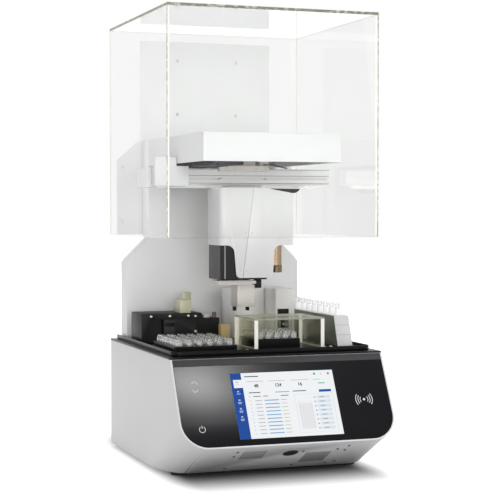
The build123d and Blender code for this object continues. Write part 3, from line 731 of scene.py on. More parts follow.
@dataclass
class ControlPanel:
    """The black glass on the base's slope, its strip, its lit screen and its marks.

    Places are (across, down) from the middle of the slope's upper edge.
    """

    half_width: float = 221.3 * MM
    upper: float = 15.5 * MM
    lower: float = 182.3 * MM
    corner: float = 51.3 * MM
    thickness: float = 2.0 * MM
    screen_half: float = 108.5 * MM
    screen_upper: float = 33.6 * MM
    screen_lower: float = 169.6 * MM
    film: float = 0.05 * MM

    def build(self) -> None:
        """Make every piece of the control panel."""
        soften("panel_top_strip", STRIP_GREY, 0.25 * MM)
        self.glass()
        self.screen()
        self.marks()

    def glass(self) -> None:
        """The sheet of black glass with its two large lower corners."""
        piece = Piece("control_glass")
        low = (-self.half_width, -self.lower, -self.thickness)
        piece.block(low, (self.half_width, -self.upper, 0))
        corners = [e for e in piece.mesh.edges
                   if all(abs(v.co.y + self.lower) < 1e-6 for v in e.verts)
                   and abs(e.verts[0].co.x - e.verts[1].co.x) < 1e-6]
        piece.bevel(corners, self.corner, 24)
        top = [e for e in piece.mesh.edges if all(abs(v.co.z) < 1e-6 for v in e.verts)]
        piece.bevel(top, 0.4 * MM)
        piece.move(PANEL)
        glass = piece.done("base", [PANEL_BLACK], ["front_glass", "touch_display"])
        takers("gleam_lamp").objects.link(glass)

    def spot(self, across: float, down: float) -> tuple[float, float]:
        """Find a place on the slope by shares of the screen.

        Args:
            across: the share of its width from its left side.
            down: the share of its height from its top.

        Returns:
            X and Y in the slope's own axes.
        """
        width = 2 * self.screen_half
        height = self.screen_lower - self.screen_upper
        return -self.screen_half + across * width, -(self.screen_upper + down * height)

    def patch(self, piece: Piece, left: float, top: float, right: float, bottom: float, layer: int,
              corner: float = 0.0) -> None:
        """Add a flat patch of the picture, given by shares of the screen.

        Args:
            piece: the piece that it joins.
            left: share of the width to its left side.
            top: share of the height to its top.
            right: share of the width to its right side.
            bottom: share of the height to its foot.
            layer: how many films it lies above the glass.
            corner: radius of its corners.
        """
        x0, y1 = self.spot(left, top)
        x1, y0 = self.spot(right, bottom)
        low = Vector((x0, y0, layer * self.film))
        high = Vector((x1, y1, (layer + 1) * self.film))
        before = set(piece.mesh.verts)
        piece.block(low, high)
        if corner:
            upright = [e for e in piece.mesh.edges if not set(e.verts) & before
                       and abs(e.verts[0].co.z - e.verts[1].co.z) > self.film / 2]
            piece.bevel(upright, corner, 4)
        new = [v for v in piece.mesh.verts if v not in before]
        bmesh.ops.transform(piece.mesh, verts=new, matrix=PANEL)

    def picture(self, name: str, colour: Colour, patches: Sequence[tuple], layer: int,
                corner: float = 0.0) -> None:
        """One colour of the picture as a piece.

        Args:
            name: the piece's name.
            colour: its colour.
            patches: (left, top, right, bottom) shares of the screen.
            layer: how many films it lies above the glass.
            corner: radius of the patches' corners.
        """
        piece = Piece(name)
        for patch in patches:
            self.patch(piece, *patch, layer, corner)
        piece.done("base", [ScreenFinish(f"{name}_light", colour)])

    def screen(self) -> None:
        """The generic picture: a side bar, three readings, a table and a list."""
        self.picture("screen_page", (0.9, 0.92, 0.94), [(0, 0, 1, 1)], 0)
        self.picture("screen_side_bar", (0.012, 0.07, 0.34),
                     [(0, 0, 0.104, 0.1), (0, 0.1, 0.022, 0.225), (0, 0.225, 0.106, 1)], 1)
        self.picture("screen_tab_light", (0.6, 0.68, 0.8),
                     [(0.04, 0.125, 0.07, 0.15), (0.035, 0.17, 0.075, 0.18)], 1)
        tabs = (0.27, 0.4, 0.53, 0.655)
        icons = [(0.045, y, 0.063, y + 0.022) for y in tabs]
        words = [(0.036, y + 0.04, 0.074, y + 0.052) for y in tabs]
        second_words = [(0.038, y + 0.06, 0.07, y + 0.07) for y in tabs[1:]]
        self.picture("screen_side_icons", (0.45, 0.55, 0.8), icons + words + second_words, 2)
        titles = [(0.133, 0.05, 0.268, 0.064), (0.154, 0.3, 0.264, 0.313), (0.578, 0.302, 0.707, 0.315)]
        heads = [(0.151, 0.36, 0.158, 0.37), (0.19, 0.36, 0.262, 0.37), (0.285, 0.36, 0.33, 0.37),
                 (0.455, 0.362, 0.53, 0.373)]
        self.picture("screen_headings", (0.06, 0.07, 0.09), titles + heads, 1)
        captions = [(0.149, 0.13, 0.31, 0.138), (0.358, 0.132, 0.517, 0.14), (0.572, 0.134, 0.746, 0.142),
                    (0.795, 0.137, 0.866, 0.145)]
        rows = [0.425 + 0.0553 * n for n in range(10)]
        cells = [(0.202, y, 0.265, y + 0.011) for y in rows] + [(0.155, y, 0.163, y + 0.012) for y in rows]
        self.picture("screen_grey_words", (0.45, 0.47, 0.5), captions + cells, 1)
        links = [(0.291, y - 0.001, 0.43, y + 0.013) for y in rows] + [(0.407, 0.305, 0.544, 0.317)]
        self.picture("screen_blue_words", (0.13, 0.38, 0.68), links, 1)
        for name, colour, some in (("green", (0.35, 0.66, 0.45), rows[::2]),
                                   ("red", (0.85, 0.5, 0.45), rows[1::2])):
            self.picture(f"screen_{name}_words", colour, [(0.448, y, 0.507, y + 0.011) for y in some], 1)
        for name, colour, patches, corner in (
            ("green_pills", (0.08, 0.55, 0.28), [(0.84, 0.192, 0.907, 0.208), (0.806, 0.034, 0.828, 0.07)], 0.8),
            ("purple_dot", (0.32, 0.2, 0.5), [(0.944, 0.036, 0.965, 0.072)], 2),
            ("pale_dot", (0.7, 0.74, 0.86), [(0.872, 0.036, 0.893, 0.072)], 2),
            ("button", (0.01, 0.08, 0.4), [(0.833, 0.3, 0.954, 0.338)], 0.7),
        ):
            self.picture(f"screen_{name}", colour, patches, 1, corner * MM)
        frames = [(0.586, 0.36, 0.588, 0.95), (0.958, 0.36, 0.96, 0.95), (0.586, 0.36, 0.96, 0.362),
                  (0.586, 0.948, 0.96, 0.95)]
        lines = [(0.613, 0.475 + 0.046 * n, 0.743, 0.477 + 0.046 * n) for n in range(10)]
        edges = [(0.613, 0.475, 0.615, 0.89), (0.741, 0.475, 0.743, 0.89)]
        self.picture("screen_frames", (0.55, 0.58, 0.6), frames + lines + edges, 1)
        self.picture("screen_grid_shade", (0.8, 0.81, 0.82), [(0.615, 0.5, 0.741, 0.89)], 1)
        list_rows = [0.392 + 0.0675 * n for n in range(8)]
        self.picture("screen_list_rows", (0.72, 0.8, 0.88), [(0.795, y, 0.93, y + 0.045) for y in list_rows], 1,
                     0.5 * MM)
        list_words = [(0.825, y + 0.018, 0.872, y + 0.028) for y in list_rows]
        list_icons = [(0.77, y + 0.014, 0.782, y + 0.034) for y in list_rows]
        self.picture("screen_list_words", (0.28, 0.33, 0.4), list_words + list_icons, 2)
        for text, across in (("48", 0.235), ("124", 0.446), ("16", 0.659)):
            self.reading(text, across, 0.205)

    def reading(self, text: str, across: float, down: float) -> None:
        """Set a bold number on the screen.

        Args:
            text: the number.
            across: where its middle is, as a share of the screen's width.
            down: where its middle is, as a share of the screen's height.
        """
        curve = bpy.data.curves.new(f"screen_reading_{text}", "FONT")
        curve.body = text
        curve.size = 9.5 * MM
        curve.offset = 0.25 * MM
        curve.extrude = self.film / 2
        curve.align_x = "CENTER"
        curve.align_y = "CENTER"
        shape = bpy.data.objects.new("reading_shape", curve)
        bpy.context.scene.collection.objects.link(shape)
        bpy.context.view_layer.update()
        data = bpy.data.meshes.new_from_object(shape)
        bpy.data.objects.remove(shape)
        x, y = self.spot(across, down)
        data.transform(PANEL @ Matrix.Translation((x, y, 1.5 * self.film)))
        data.name = f"screen_reading_{text}"
        data.materials.clear()
        finish = ScreenFinish("screen_reading_ink", (0.02, 0.03, 0.08))
        dress(data, f"screen_reading_{text}", "base", [finish])

    def arc(self, piece: Piece, x: float, y: float, radius: float, start: float, sweep: float,
            width: float) -> None:
        """Add a flat arc-shaped mark to a piece, in the slope's own axes.

        Args:
            piece: the piece that it joins.
            x: its centre across.
            y: its centre up the slope.
            radius: of its middle line.
            start: the angle that it starts at, in degrees from +X.
            sweep: how far it turns, in degrees.
            width: across its line.
        """
        centre = Vector((x, y, 0))
        way = Vector((math.cos(math.radians(start)), math.sin(math.radians(start)), 0))
        verts = [piece.mesh.verts.new(centre + way * r + Vector((0, 0, h)))
                 for r, h in ((radius - width / 2, 0), (radius + width / 2, 0),
                              (radius + width / 2, self.film), (radius - width / 2, self.film))]
        face = piece.mesh.faces.new(verts)
        full = abs(sweep) >= 360
        geom = [*face.edges, *face.verts] if full else [face, *face.edges, *face.verts]
        bmesh.ops.spin(piece.mesh, geom=geom, cent=centre, axis=(0, 0, 1), angle=math.radians(sweep),
                       steps=max(8, int(abs(sweep) / 8)), use_merge=full, use_duplicate=False)
        if full:
            bmesh.ops.delete(piece.mesh, geom=[face], context="FACES_ONLY")

    def marks(self) -> None:
        """The chevrons, the power sign and the card reader's waves, which carry a painted glow."""
        arrows = Piece("panel_chevrons")
        across, half_height, half_width = -183.6 * MM, 2.6 * MM, 6.3 * MM
        for down, way in ((49.5, 1), (67, -1)):
            for side in (-1, 1):
                tip = Vector((across, -down * MM + way * half_height, 0))
                end = Vector((across + side * half_width, -down * MM - way * half_height, 0))
                self.stroke(arrows, tip, end, 1.0 * MM)
        arrows.move(PANEL)
        arrows.done("base", [ICON_GREY_GLOWING])
        power = Piece("panel_power_mark")
        self.arc(power, -181 * MM, -145.6 * MM, 6 * MM, 120, 300, 1.2 * MM)
        self.stroke(power, Vector((-181 * MM, -144 * MM, 0)), Vector((-181 * MM, -137.6 * MM, 0)), 1.2 * MM)
        power.move(PANEL)
        power.done("base", [ICON_GREY_GLOWING])
        waves = Piece("panel_reader_mark")
        centre = (165.7 * MM, -99.5 * MM)
        waves.rod((*centre, 0), (*centre, self.film), 2.6 * MM)
        for radius in (8.5, 13.2, 18):
            for start in (-38, 142):
                self.arc(waves, *centre, radius * MM, start, 76, 1.4 * MM)
        waves.move(PANEL)
        waves.done("base", [ICON_GREY_GLOWING])

    def stroke(self, piece: Piece, start: Vector, end: Vector, width: float) -> None:
        """Add a straight flat stroke to a piece, in the slope's own axes.

        Args:
            piece: the piece that it joins.
            start: where it starts.
            end: where it ends.
            width: across it.
        """
        run = end - start
        side = Vector((-run.y, run.x, 0)).normalized() * width / 2
        piece.prism([start - side, end - side, end + side, start + side], (0, 0, self.film))


@dataclass
class Deck:
    """The black deck, its rim and pins."""

    def build(self) -> None:
        """Make every piece of the deck."""
        soften("deck_plate", DECK_BLACK, 0.7 * MM)
        soften("deck_rim", DECK_BLACK, 0.5 * MM)
        soften("white_pins", WHITE_MOULDED, 1.2 * MM)


@dataclass
class TowerAndArm:
    """The white tower and arm with the rails, frame and cable chain inside them."""

    link_pitch: float = 12.5 * MM
    thread_outer: float = 5.95 * MM
    thread_root: float = 5.1 * MM
    thread_pitch: float = 5 * MM

    def build(self) -> None:
        """Make every piece of the tower and the arm."""
        takers("fill_lamp").objects.link(soften("tower_cover", WHITE_POWDER, 0.8 * MM))
        soften("arm_cover", WHITE_POWDER, 0.9 * MM)
        soften("tower_frame", BRUSHED, 0.4 * MM, 1)
        soften("arm_beam", BRUSHED, 0.4 * MM, 1)
        for node in ("lift_rails", "y_rails"):
            soften(node, GROUND_STEEL, 0.3 * MM, 1)
        self.screw()
        self.chain()

    def screw(self) -> None:
        """The lift screw with its rolled thread."""
        box = Box.of("lift_screw")
        middle = box.at(0.5, 0.5, 0)
        height = box.high.z - box.low.z
        outer, root, pitch = self.thread_outer, self.thread_root, self.thread_pitch
        piece = Piece("lift_screw_thread")
        profile = [(0, 0), (outer, 0)]
        for n in range(int(height / pitch)):
            z = n * pitch
            profile += [(outer, z + 0.8 * MM), (root, z + 1.6 * MM), (root, z + 3.4 * MM),
                        (outer, z + 4.2 * MM)]
        profile += [(outer, height), (0, height)]
        piece.lathe(middle, profile, steps=20)
        piece.done("lift_screw", [GROUND_STEEL], ["lift_screw"])

    def chain(self) -> None:
        """The cable chain that lies along the arm, link by link."""
        box = Box.of("y_cable_chain")
        low, high = box.low, box.high
        count = int((high.y - low.y) / self.link_pitch)
        piece = Piece("arm_cable_chain")
        piece.block((low.x + 4 * MM, low.y + 1 * MM, low.z + 3.2 * MM),
                    (high.x - 4 * MM, high.y - 1 * MM, high.z - 3.2 * MM))
        for n in range(count):
            y0 = low.y + n * self.link_pitch
            y1 = y0 + self.link_pitch * 0.86
            for x0, x1 in ((low.x, low.x + 2.5 * MM), (high.x - 2.5 * MM, high.x)):
                piece.block((x0, y0, low.z + 1 * MM), (x1, y1, high.z - 2 * MM), 0.5 * MM)
            for z in (low.z + 1 * MM, high.z - 4 * MM):
                piece.block((low.x + 2 * MM, y0 + 3 * MM, z), (high.x - 2 * MM, y1 - 1 * MM, z + 1.8 * MM),
                            0.4 * MM)
        piece.done("base", [CHAIN_BLACK], ["y_cable_chain"])
        run = Piece("arm_cable_chain_lower_run")
        left, right = low.x + 22 * MM, high.x
        run.block((left + 2 * MM, low.y + 3 * MM, low.z - 9 * MM),
                  (right - 2 * MM, high.y - 3 * MM, low.z - 1.5 * MM))
        for n in range(count):
            y0 = low.y + n * self.link_pitch
            run.block((left, y0, low.z - 11 * MM), (right, y0 + self.link_pitch * 0.7, low.z), 0.8 * MM)
        run.done("base", [CHAIN_BLACK])


@dataclass
class Gantry:
    """The beam that runs back and forth under the arm, with its covers and cable chain."""

    def build(self) -> None:
        """Make every piece of the gantry."""
        soften("gantry_plate", WARM_STEEL, 0.4 * MM, 1)
        soften("x_beam", BRUSHED, 0.35 * MM, 1)
        soften("beam_end_cover", WHITE_POWDER, 0.6 * MM)
        soften("x_motor_cover", WHITE_POWDER, 1.0 * MM)
        soften("x_rail", GROUND_STEEL, 0.3 * MM, 1)
        soften("x_cable_chain", CHAIN_BLACK, 0.8 * MM, 1)
        self.screws()
        self.lines()
        self.cable()

    def lines(self) -> None:
        """Painted shade: thin dark strips that stand for the shade in each fine groove along the beam's front."""
        box = Box.of("x_beam")
        left, right, front = box.low.x + 0.5 * MM, box.high.x - 0.5 * MM, box.low.y
        groove_shade_strips = Piece("beam_grooves")
        for height, width in ((2.2, 1.0), (18.4, 0.8), (31.6, 0.6)):
            groove_shade_strips.block((left, front - 0.08 * MM, box.low.z + height * MM),
                          (right, front + 0.3 * MM, box.low.z + (height + width) * MM))
        groove_shade_strips.done("gantry", [HOUSING_GREY])

    def cable(self) -> None:
        """The flat black cable that curves away from the gantry plate over the beam."""
        piece = Piece("gantry_flat_cable")
        track = [(48, 26, 627.2), (66, 26, 626.6), (84, 28, 624.4), (98, 33, 621.6), (108, 42, 620.2)]
        for start, end in zip(track, track[1:]):
            run = [Vector(point) * MM for point in (start, end)]
            piece.prism([run[0], run[1], run[1] + Vector((0, 9 * MM, 0)), run[0] + Vector((0, 9 * MM, 0))],
                        (0, 0, 1.6 * MM))
        piece.done("gantry", [CHAIN_BLACK])

    def screws(self) -> None:
        """Button heads on the gantry plate's lip and on the beam."""
        piece = Piece("gantry_screw_heads")
        lip = Box.of("gantry_plate")
        for x in (-38, -18, 30, 52):
            button_head(piece, (x * MM, lip.low.y, 619 * MM), (0, -1, 0), 2.4 * MM)
        for x in (-48, 54):
            button_head(piece, (x * MM, HOOD_FRONT + 203 * MM, 597.2 * MM), (0, -1, 0), 2.5 * MM)
        piece.done("gantry", [SCREW_STEEL])


@dataclass
class Head:
    """The head that runs along the beam: covers, frame, carriage and cartridge."""

    def build(self) -> None:
        """Make every piece of the head."""
        soften("head_cover_left", WHITE_MOULDED, 0.9 * MM)
        soften("head_cover_right", WHITE_MOULDED, 0.9 * MM)
        soften("head_frame", ANODISED_BLACK, 0.6 * MM)
        soften("x_carriage", WARM_STEEL, 0.5 * MM, 1)
        self.screws()
        self.guide()
        self.cartridge()

    def screws(self) -> None:
        """The four small screws beside the covers' split."""
        piece = Piece("head_screw_heads")
        front = Box.of("head_cover_left").low.y
        foot, top = Vector((-16.4 * MM, 388.5 * MM)), Vector((7.6 * MM, 578 * MM))
        for z in (404 * MM, 483 * MM):
            middle = foot.x + (z - foot.y) * (top.x - foot.x) / (top.y - foot.y)
            for side in (-1, 1):
                button_head(piece, (middle + side * 7 * MM, front, z), (0, -1, 0), 2.0 * MM)
        piece.done("head", [SCREW_STEEL], ["head_screws"])

    def guide(self) -> None:
        """The guide strip on the frame's front, a black strip of painted shadow behind the covers' split, and the
        frame's grey cheek.
        """
        box = Box.of("head_frame")
        strip = Piece("head_guide_strip")
        strip.block((box.low.x + 7 * MM, box.low.y - 0.9 * MM, box.low.z + 2 * MM),
                    (box.low.x + 8.8 * MM, box.low.y + 0.3 * MM, box.low.z + 71 * MM), 0.25 * MM)
        strip.done("head", [LABEL_GREY])
        # Painted shadow: a black strip behind the covers' split, where there is only shade.
        split_shade = Piece("head_split_shadow")
        corners = ((-18.4, 392), (-12.4, 392), (9.6, 566), (3.6, 566))
        split_shade.prism([(x * MM, box.low.y - 1.1 * MM, z * MM) for x, z in corners], (0, 0.9 * MM, 0))
        split_shade.done("head", [MATT_BLACK])
        cheek = Piece("head_grey_cheek")
        cheek.block((box.low.x - 1.2 * MM, box.low.y + 6 * MM, box.low.z + 1 * MM),
                    (box.low.x + 0.2 * MM, box.high.y - 2 * MM, box.high.z - 4 * MM), 0.4 * MM)
        cheek.done("head", [ANODISED_GREY])

    def cartridge(self) -> None:
        """The amber cartridge in its metal collar."""
        box = Box.of("head_cartridge")
        middle = Vector((box.high.x - 13.2 * MM, (box.low.y + box.high.y) / 2, box.low.z))
        body = Piece("head_cartridge_amber")
        profile = [(0, 15.4), (12.4, 15.4), (12.4, 112), (10.5, 117), (5, 121.8), (0, 121.8)]
        body.lathe(middle, [(r * MM, h * MM) for r, h in profile], steps=32)
        body.done("head", [AMBER], ["head_cartridge"])
        collar = Piece("head_cartridge_collar")
        profile = [(0, 0), (11.8, 0), (13.1, 1.2), (13.1, 5.6), (12.7, 6), (12.7, 7), (13.1, 7.4), (13.1, 14.4),
                   (12.6, 15.2), (0, 15.2)]
        collar.lathe(middle, [(r * MM, h * MM) for r, h in profile], steps=32)
        collar.block((box.low.x, middle.y - 6 * MM, box.low.z + 102 * MM),
                     (middle.x - 10.5 * MM, middle.y + 6 * MM, box.low.z + 114 * MM), 0.5 * MM)
        collar.done("head", [COLLAR_BRONZE])


@dataclass
class Tool:
    """The plate and gripper that the head lowers."""

    def build(self) -> None:
        """Make every piece of the tool."""
        for node, width, segments in (("tool_plate", 0.4 * MM, 1), ("gripper_body", 0.6 * MM, 2)):
            takers("fill_lamp").objects.link(soften(node, WARM_STEEL, width, segments))
        soften("sensor_block", MATT_BLACK, 0.5 * MM)
        soften("left_finger", MATT_BLACK, 0.5 * MM)
        soften("right_finger", MATT_BLACK, 0.5 * MM)
        piece = Piece("gripper_screw_heads")
        box = Box.of("gripper_body")
        for x in (0.14, 0.86):
            for z in (0.2, 0.85):
                button_head(piece, box.at(x, 0, z), (0, -1, 0), 1.9 * MM)
        piece.done("tool", [SCREW_STEEL])


@dataclass
class Racks:
    """The racks of vials and tubes on the deck."""

    vial_radius: float = 7.4 * MM
    inset: float = 7.5 * MM
    wall: float = 0.9 * MM
    tube_radius: float = 6 * MM
    cap_height: float = 12 * MM
    front_grid: tuple[int, int] = (6, 8)
    middle_grid: tuple[int, int] = (5, 5)
    tube_count: int = 8

    def build(self) -> None:
        """Make every piece of the racks."""
        soften("front_rack", DECK_BLACK, 0.5 * MM, 1)
        soften("middle_rack", DECK_BLACK, 0.5 * MM, 1)
        self.vials("front_vials", "front_rack", self.front_grid)
        self.vials("middle_vials", "middle_rack", self.middle_grid)
        self.tube_stand()
        self.tubes()

    def vials(self, node: str, body: str, grid: tuple[int, int]) -> None:
        """A rack's open glass vials, each with a shoulder and a rim.

        Args:
            node: the CAD node that they stand for.
            body: the body that they ride on.
            grid: how many across and along.
        """
        box = Box.of(node)
        height = box.high.z - box.low.z
        r, w = self.vial_radius, self.wall
        outline = [(0, 0), (r - 0.8 * MM, 0), (r, 0.8 * MM), (r, height - 5.5 * MM),
                   (r - 1.3 * MM, height - 3.8 * MM), (r - 1.5 * MM, height - 2.6 * MM),
                   (r - 0.6 * MM, height - 2.2 * MM), (r - 0.6 * MM, height - 0.3 * MM), (r - 0.9 * MM, height),
                   (r - 2.4 * MM, height), (r - 2.6 * MM, height - 3.8 * MM), (r - w, height - 6 * MM),
                   (r - w, 1.6 * MM), (0, 1.2 * MM)]
        piece = Piece(f"{node}_glass")
        across, along = grid
        inset = self.inset
        step_x = (box.high.x - box.low.x - 2 * inset) / (across - 1)
        step_y = (box.high.y - box.low.y - 2 * inset) / (along - 1)
        for i in range(across):
            for j in range(along):
                foot = box.low + Vector((inset + i * step_x, inset + j * step_y, 0))
                piece.lathe(foot, outline, steps=16)
        piece.done(body, [VIAL_GLASS], [node])

    def tube_stand(self) -> None:
        """The slanting tube rack: pale at its ends and top, with painted shade as a dark glossy finish on its
        left-facing side.
        """
        stand = soften("tube_rack", RACK_FROSTED, 0.6 * MM)
        # Painted shade: faces that look towards -X take the dark finish.
        stand.data.materials.append(RACK_SHADED_SIDE.material())
        for face in stand.data.polygons:
            if face.normal.x < -0.9:
                face.material_index = 1
        box = Box.of("tube_rack")
        rules = Piece("tube_rack_rules")
        lean = 22 * MM
        for share in (0.36, 0.68):
            z = box.low.z + share * (box.high.z - box.low.z)
            y = box.low.y + share * lean
            rules.block((box.low.x + 0.6 * MM, y - 0.15 * MM, z),
                        (box.high.x - 0.6 * MM, y + 1.6 * MM, z + 0.8 * MM))
        rules.done("tube_rack", [LABEL_GREY])

    def tubes(self) -> None:
        """Eight tubes with white lower halves, which carry a painted glow, and clear caps."""
        box = Box.of("tubes")
        height = box.high.z - box.low.z
        white = Piece("tube_white_halves")
        clear = Piece("tube_clear_caps")
        radius = self.tube_radius
        step = (box.high.y - box.low.y - 2 * radius) / (self.tube_count - 1)
        cut = height - self.cap_height
        for n in range(self.tube_count):
            foot = Vector(((box.low.x + box.high.x) / 2, box.low.y + radius + n * step, box.low.z))
            white.lathe(foot, [(0, 0), (radius * 0.85, 0), (radius, 2 * MM), (radius, cut - 0.6 * MM),
                               (radius * 0.9, cut), (0, cut)], steps=20)
            clear.lathe(foot, [(0, cut + 0.1 * MM), (radius * 0.94, cut + 0.1 * MM), (radius, height - 3 * MM),
                               (radius * 0.95, height - 0.6 * MM), (radius * 0.8, height), (0, height)], steps=20)
        white.done("tube_rack", [TUBE_WHITE_GLOWING], ["tubes"])
        clear.done("tube_rack", [CAP_GLASS])


@dataclass
class Stations:
    """The fixed stations at the rear of the deck and the draft shield."""

    shield_side: float = 8 * MM
    shield_rear: float = 6 * MM
    shield_top: float = 3 * MM

    def build(self) -> None:
        """Make every piece of the stations."""
        soften("capper_housing", MATT_BLACK, 0.6 * MM)
        self.capper()
        soften("module_dish", YELLOWISH, 0.5 * MM)
        soften("tan_block", TAN, 0.6 * MM)
        takers("fill_lamp").objects.link(soften("shaker_tower", CREAM_MOULDED, 0.8 * MM))
        self.keypad()
        self.shield()

    def capper(self) -> None:
        """The capper's screws, drive panel, cap and little brown reservoir."""
        box = Box.of("capper_housing")
        screws = Piece("capper_screw_heads")
        for x, z in ((-182, 303), (-140, 303), (-98.7, 303), (-82.5, 302), (-82.5, 268.8)):
            button_head(screws, (x * MM, box.low.y + 0.6 * MM, z * MM), (0, -1, 0), 3.2 * MM)
        screws.done("base", [SCREW_STEEL])
        panel = Piece("capper_drive_panel")
        y = box.low.y
        for foot_z, top_z in ((262.4, 280.6), (288.4, 294.6)):
            panel.block((-152.6 * MM, y - 0.3 * MM, foot_z * MM), (-129.4 * MM, y + 0.7 * MM, top_z * MM),
                        0.25 * MM)
        panel.done("base", [HOUSING_GREY])
        for name, x, depth, profile, finish in (
            ("capper_white_cap", -50, 300, ((0, 0), (9.2, 0), (9.2, 4), (8.2, 6.3), (5, 7), (0, 7)),
             CREAM_MOULDED),
            ("capper_brown_reservoir", -36, 284, ((0, 0), (4.6, 0), (4.6, 11), (4.0, 12), (0, 12)), BROWN),
        ):
            round_ = Piece(name)
            foot = Vector((x * MM, HOOD_FRONT + depth * MM, 297 * MM))
            round_.lathe(foot, [(r * MM, h * MM) for r, h in profile])
            round_.done("base", [finish])

    def keypad(self) -> None:
        """The tower's black keypad: two key bars, light rules between them and a round knob."""
        box = Box.of("tower_keypad")
        soften("tower_keypad", MATT_BLACK, 0.25 * MM)
        front = box.low.y + 1.0 * MM
        rules = Piece("keypad_rules")
        for z in (288, 300):
            rules.block((box.low.x + 0.5 * MM, front - 0.3 * MM, z * MM),
                        (box.high.x - 0.5 * MM, front + 0.8 * MM, (z + 0.8) * MM), 0.15 * MM)
        rules.done("base", [LABEL_GREY])
        knob = Piece("keypad_knob")
        profile = [(r * MM, h * MM) for r, h in ((0, 3), (2.4, 3), (2.8, 2.6), (3.6, 0), (0, 0))]
        knob.lathe((121 * MM, front + 0.4 * MM, 279.5 * MM), profile, (0, -1, 0))
        knob.done("base", [BRUSHED])

    def shield(self) -> None:
        """The clear draft shield: two side panes, a rear pane and a top pane; the upright panes' sawn edges carry
        a painted glow and the top pane's a darker grey of painted shade.
        """
        box = Box.of("draft_shield")
        low, high = box.low, box.high
        side, rear, top = self.shield_side, self.shield_rear, self.shield_top
        panes = {
            "left": ((low.x, low.y, low.z), (low.x + side, high.y, high.z - top)),
            "right": ((high.x - side, low.y, low.z), (high.x, high.y, high.z - top)),
            "rear": ((low.x + side, high.y - rear, low.z), (high.x - side, high.y, high.z - top)),
            "top": ((low.x, low.y, high.z - top), (high.x, high.y, high.z)),
        }
        for name, (start, end) in panes.items():
            node = ["draft_shield"] if name == "left" else []
            edge = GREY_EDGE_SHADED if name == "top" else CREAM_EDGE_GLOWING
            acrylic_pane(f"shield_{name}_pane", start, end, "draft_shield", SHIELD_ACRYLIC, edge, node)


@dataclass
class Hood:
    """The clear hood with its white rear plate and carriages."""

    plate_gap: float = 0.4 * MM
    screw_places: tuple[tuple[float, float], ...] = ((70, 868), (70, 748), (195, 628), (195, 505))

    def build(self) -> None:
        """Make every piece of the hood."""
        for side in ("front", "left", "right", "top", "rear"):
            self.panel(f"hood_{side}_panel")
        soften("hood_plate", WHITE_POWDER, 0.5 * MM)
        soften("hood_carriages", GROUND_STEEL, 0.5 * MM, 1)
        self.screws()

    def panel(self, node: str) -> None:
        """One acrylic panel, clear on its faces, with painted light on its sawn edges: dashes of painted
        reflection on the front and top panels and a painted glow on the others.

        The rear one stands a hair off the white plate, so that light reaches the plate between them.

        Args:
            node: the CAD node that it stands for.
        """
        box = Box.of(node)
        edge = {"hood_front_panel": HOOD_EDGE, "hood_top_panel": TOP_EDGE}.get(node, CREAM_EDGE_GLOWING)
        gap = Vector((0, self.plate_gap if node == "hood_rear_panel" else 0, 0))
        acrylic_pane(f"{node}_acrylic", box.low + gap, box.high, "hood", ACRYLIC, edge, [node])

    def screws(self) -> None:
        """Button heads on the rear plate."""
        piece = Piece("hood_screw_heads")
        front = Box.of("hood_plate").low.y
        for side in (-1, 1):
            for x, z in self.screw_places:
                button_head(piece, (side * x * MM, front, z * MM), (0, -1, 0), 3.6 * MM)
        piece.done("hood", [SCREW_STEEL], ["hood_screws"])


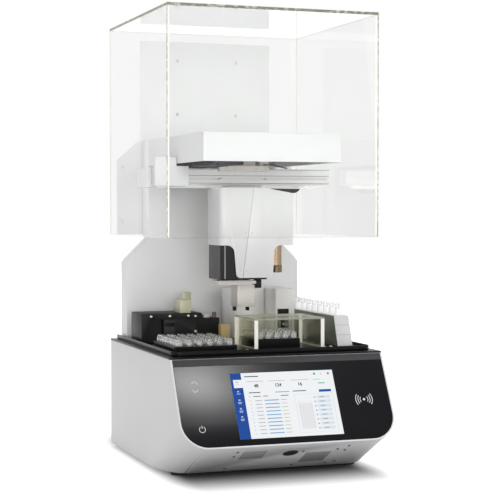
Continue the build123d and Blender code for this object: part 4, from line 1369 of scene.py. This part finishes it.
@dataclass
class Studio:
    """The pale floor, the soft light and the camera."""

    camera_at: Point = (-1.0252, -2.8976, 0.5318)
    camera_turn: Point = (88.41, 0.0, -19.633)
    lens: float = 104.67
    sky: float = 0.74
    # foot, foot_at, spread, shadow_reach and shadow_grey shape the floor's painted contact shadow round the base.
    foot: Point = (0.175, 0.205, 0.0)
    foot_at: Point = (0.0, 0.06, 0.0)
    spread: Point = (3.0, 1.0, 0.0)
    shadow_reach: float = 0.27
    shadow_grey: Colour = (0.22, 0.22, 0.22)
    floor_grey: Colour = (0.6, 0.6, 0.6)
    lamps: list[tuple[str, Point, float, float]] = field(default_factory=lambda: [
        ("key_lamp", (2.2, -2.6, 1.6), 10.0, 1.8),
        ("top_lamp", (0.0, 0.2, 3.2), 6.0, 2.5),
        ("front_lamp", (-0.9, -5.2, 0.5), 76.0, 2.4),
    ])
    part_lamps: list[tuple[str, Point, float, float]] = field(default_factory=lambda: [
        ("gleam_lamp", (0.0, -1.7, 2.85), 470.0, 0.8),
        ("fill_lamp", (-2.3, -1.5, 0.25), 15.0, 0.9),
    ])

    def build(self) -> None:
        """Make the stage."""
        self.floor()
        self.world()
        for name, place, power, size in self.lamps:
            self.lamp(name, place, power, size)
        for name, place, power, size in self.part_lamps:
            self.lamp(name, place, power, size).light_linking.receiver_collection = takers(name)
        self.camera()
        bpy.context.scene.view_settings.view_transform = "Standard"

    def floor(self) -> None:
        """The white floor, which keeps the object's shadow and adds a painted contact shadow round the base."""
        mesh = bmesh.new()
        bmesh.ops.create_grid(mesh, x_segments=1, y_segments=1, size=12)
        data = bpy.data.meshes.new("floor")
        mesh.to_mesh(data)
        mesh.free()
        floor = bpy.data.objects.new("floor", data)
        bpy.context.scene.collection.objects.link(floor)
        data.materials.append(self.floor_material())

    def floor_material(self) -> bpy.types.Material:
        """Make a floor that is white beyond a painted contact shadow: its colour darkens and its glow fades
        towards the base's foot.

        Returns:
            The node material.
        """
        made = bpy.data.materials.new("floor_white")
        made.use_nodes = True
        wiring = Wiring(made.node_tree)
        away = wiring.place()
        for operation, value in (("SUBTRACT", self.foot_at), ("ABSOLUTE", None), ("SUBTRACT", self.foot),
                                 ("MAXIMUM", (0, 0, 0)), ("MULTIPLY", self.spread)):
            away = wiring.add("VectorMath", {0: away} if value is None else {0: away, 1: value},
                              operation=operation)
        distance = wiring.add("VectorMath", {0: away}, "Value", operation="LENGTH")
        # lift runs from 0 at the base's foot to 1 beyond the painted contact shadow.
        lift = wiring.add("MapRange", {"Value": distance, "From Max": self.shadow_reach},
                          interpolation_type="SMOOTHSTEP")
        seen = wiring.add("Math", {0: self.bright_rays(wiring), 1: lift}, operation="MULTIPLY")
        wiring.feed(wiring.shader, {
            "Base Color": wiring.blend(lift, self.shadow_grey, self.floor_grey), "Roughness": 0.55,
            "Specular IOR Level": 0.1, "Emission Color": (1, 1, 1, 1), "Emission Strength": seen})
        return made

    def world(self) -> None:
        """White behind the object and in its glass and metal, and a softer light on the rest."""
        world = bpy.data.worlds.new("studio")
        bpy.context.scene.world = world
        world.use_nodes = True
        wiring = Wiring(world.node_tree)
        strength = wiring.add("MapRange", {"Value": self.bright_rays(wiring), "To Min": self.sky, "To Max": 1.0})
        wiring.feed(world.node_tree.nodes["Background"], {"Color": (1, 1, 1, 1), "Strength": strength})

    @staticmethod
    def bright_rays(wiring: Wiring) -> bpy.types.NodeSocket:
        """Find the rays that see the bright background.

        Args:
            wiring: the nodes of the material or world.

        Returns:
            A socket that is 1 on rays from the camera and on reflected and transmitted ones.
        """
        camera, glossy, clear = [wiring.add("LightPath", {}, f"Is {kind} Ray")
                                 for kind in ("Camera", "Glossy", "Transmission")]
        either = wiring.add("Math", {0: camera, 1: glossy}, operation="MAXIMUM")
        return wiring.add("Math", {0: either, 1: clear}, operation="MAXIMUM")

    def lamp(self, name: str, place: Point, power: float, size: float) -> bpy.types.Object:
        """Hang a square soft lamp that points at the object's middle.

        Args:
            name: the lamp's name.
            place: where it hangs.
            power: its power in watts.
            size: its side.

        Returns:
            The lamp.
        """
        light = bpy.data.lights.new(name, "AREA")
        light.energy = power
        light.size = size
        lamp = bpy.data.objects.new(name, light)
        lamp.location = place
        lamp.rotation_euler = (Vector((0, 0, 0.45)) - Vector(place)).to_track_quat("-Z", "Y").to_euler()
        bpy.context.scene.collection.objects.link(lamp)
        return lamp

    def camera(self) -> None:
        """The camera, a little above the deck and to the operator's left."""
        data = bpy.data.cameras.new("camera")
        data.lens = self.lens
        data.sensor_width = 36
        camera = bpy.data.objects.new("camera", data)
        camera.location = self.camera_at
        camera.rotation_euler = [math.radians(a) for a in self.camera_turn]
        bpy.context.scene.collection.objects.link(camera)
        bpy.context.scene.camera = camera


def main() -> None:
    """Build every sub-assembly and the stage."""
    logging.basicConfig(level=logging.INFO)
    for assembly in (Base(), ControlPanel(), Deck(), TowerAndArm(), Gantry(), Head(), Tool(), Racks(), Stations(),
                     Hood(), Studio()):
        log.info("building %s", type(assembly).__name__)
        assembly.build()


if __name__ == "__main__":
    main()
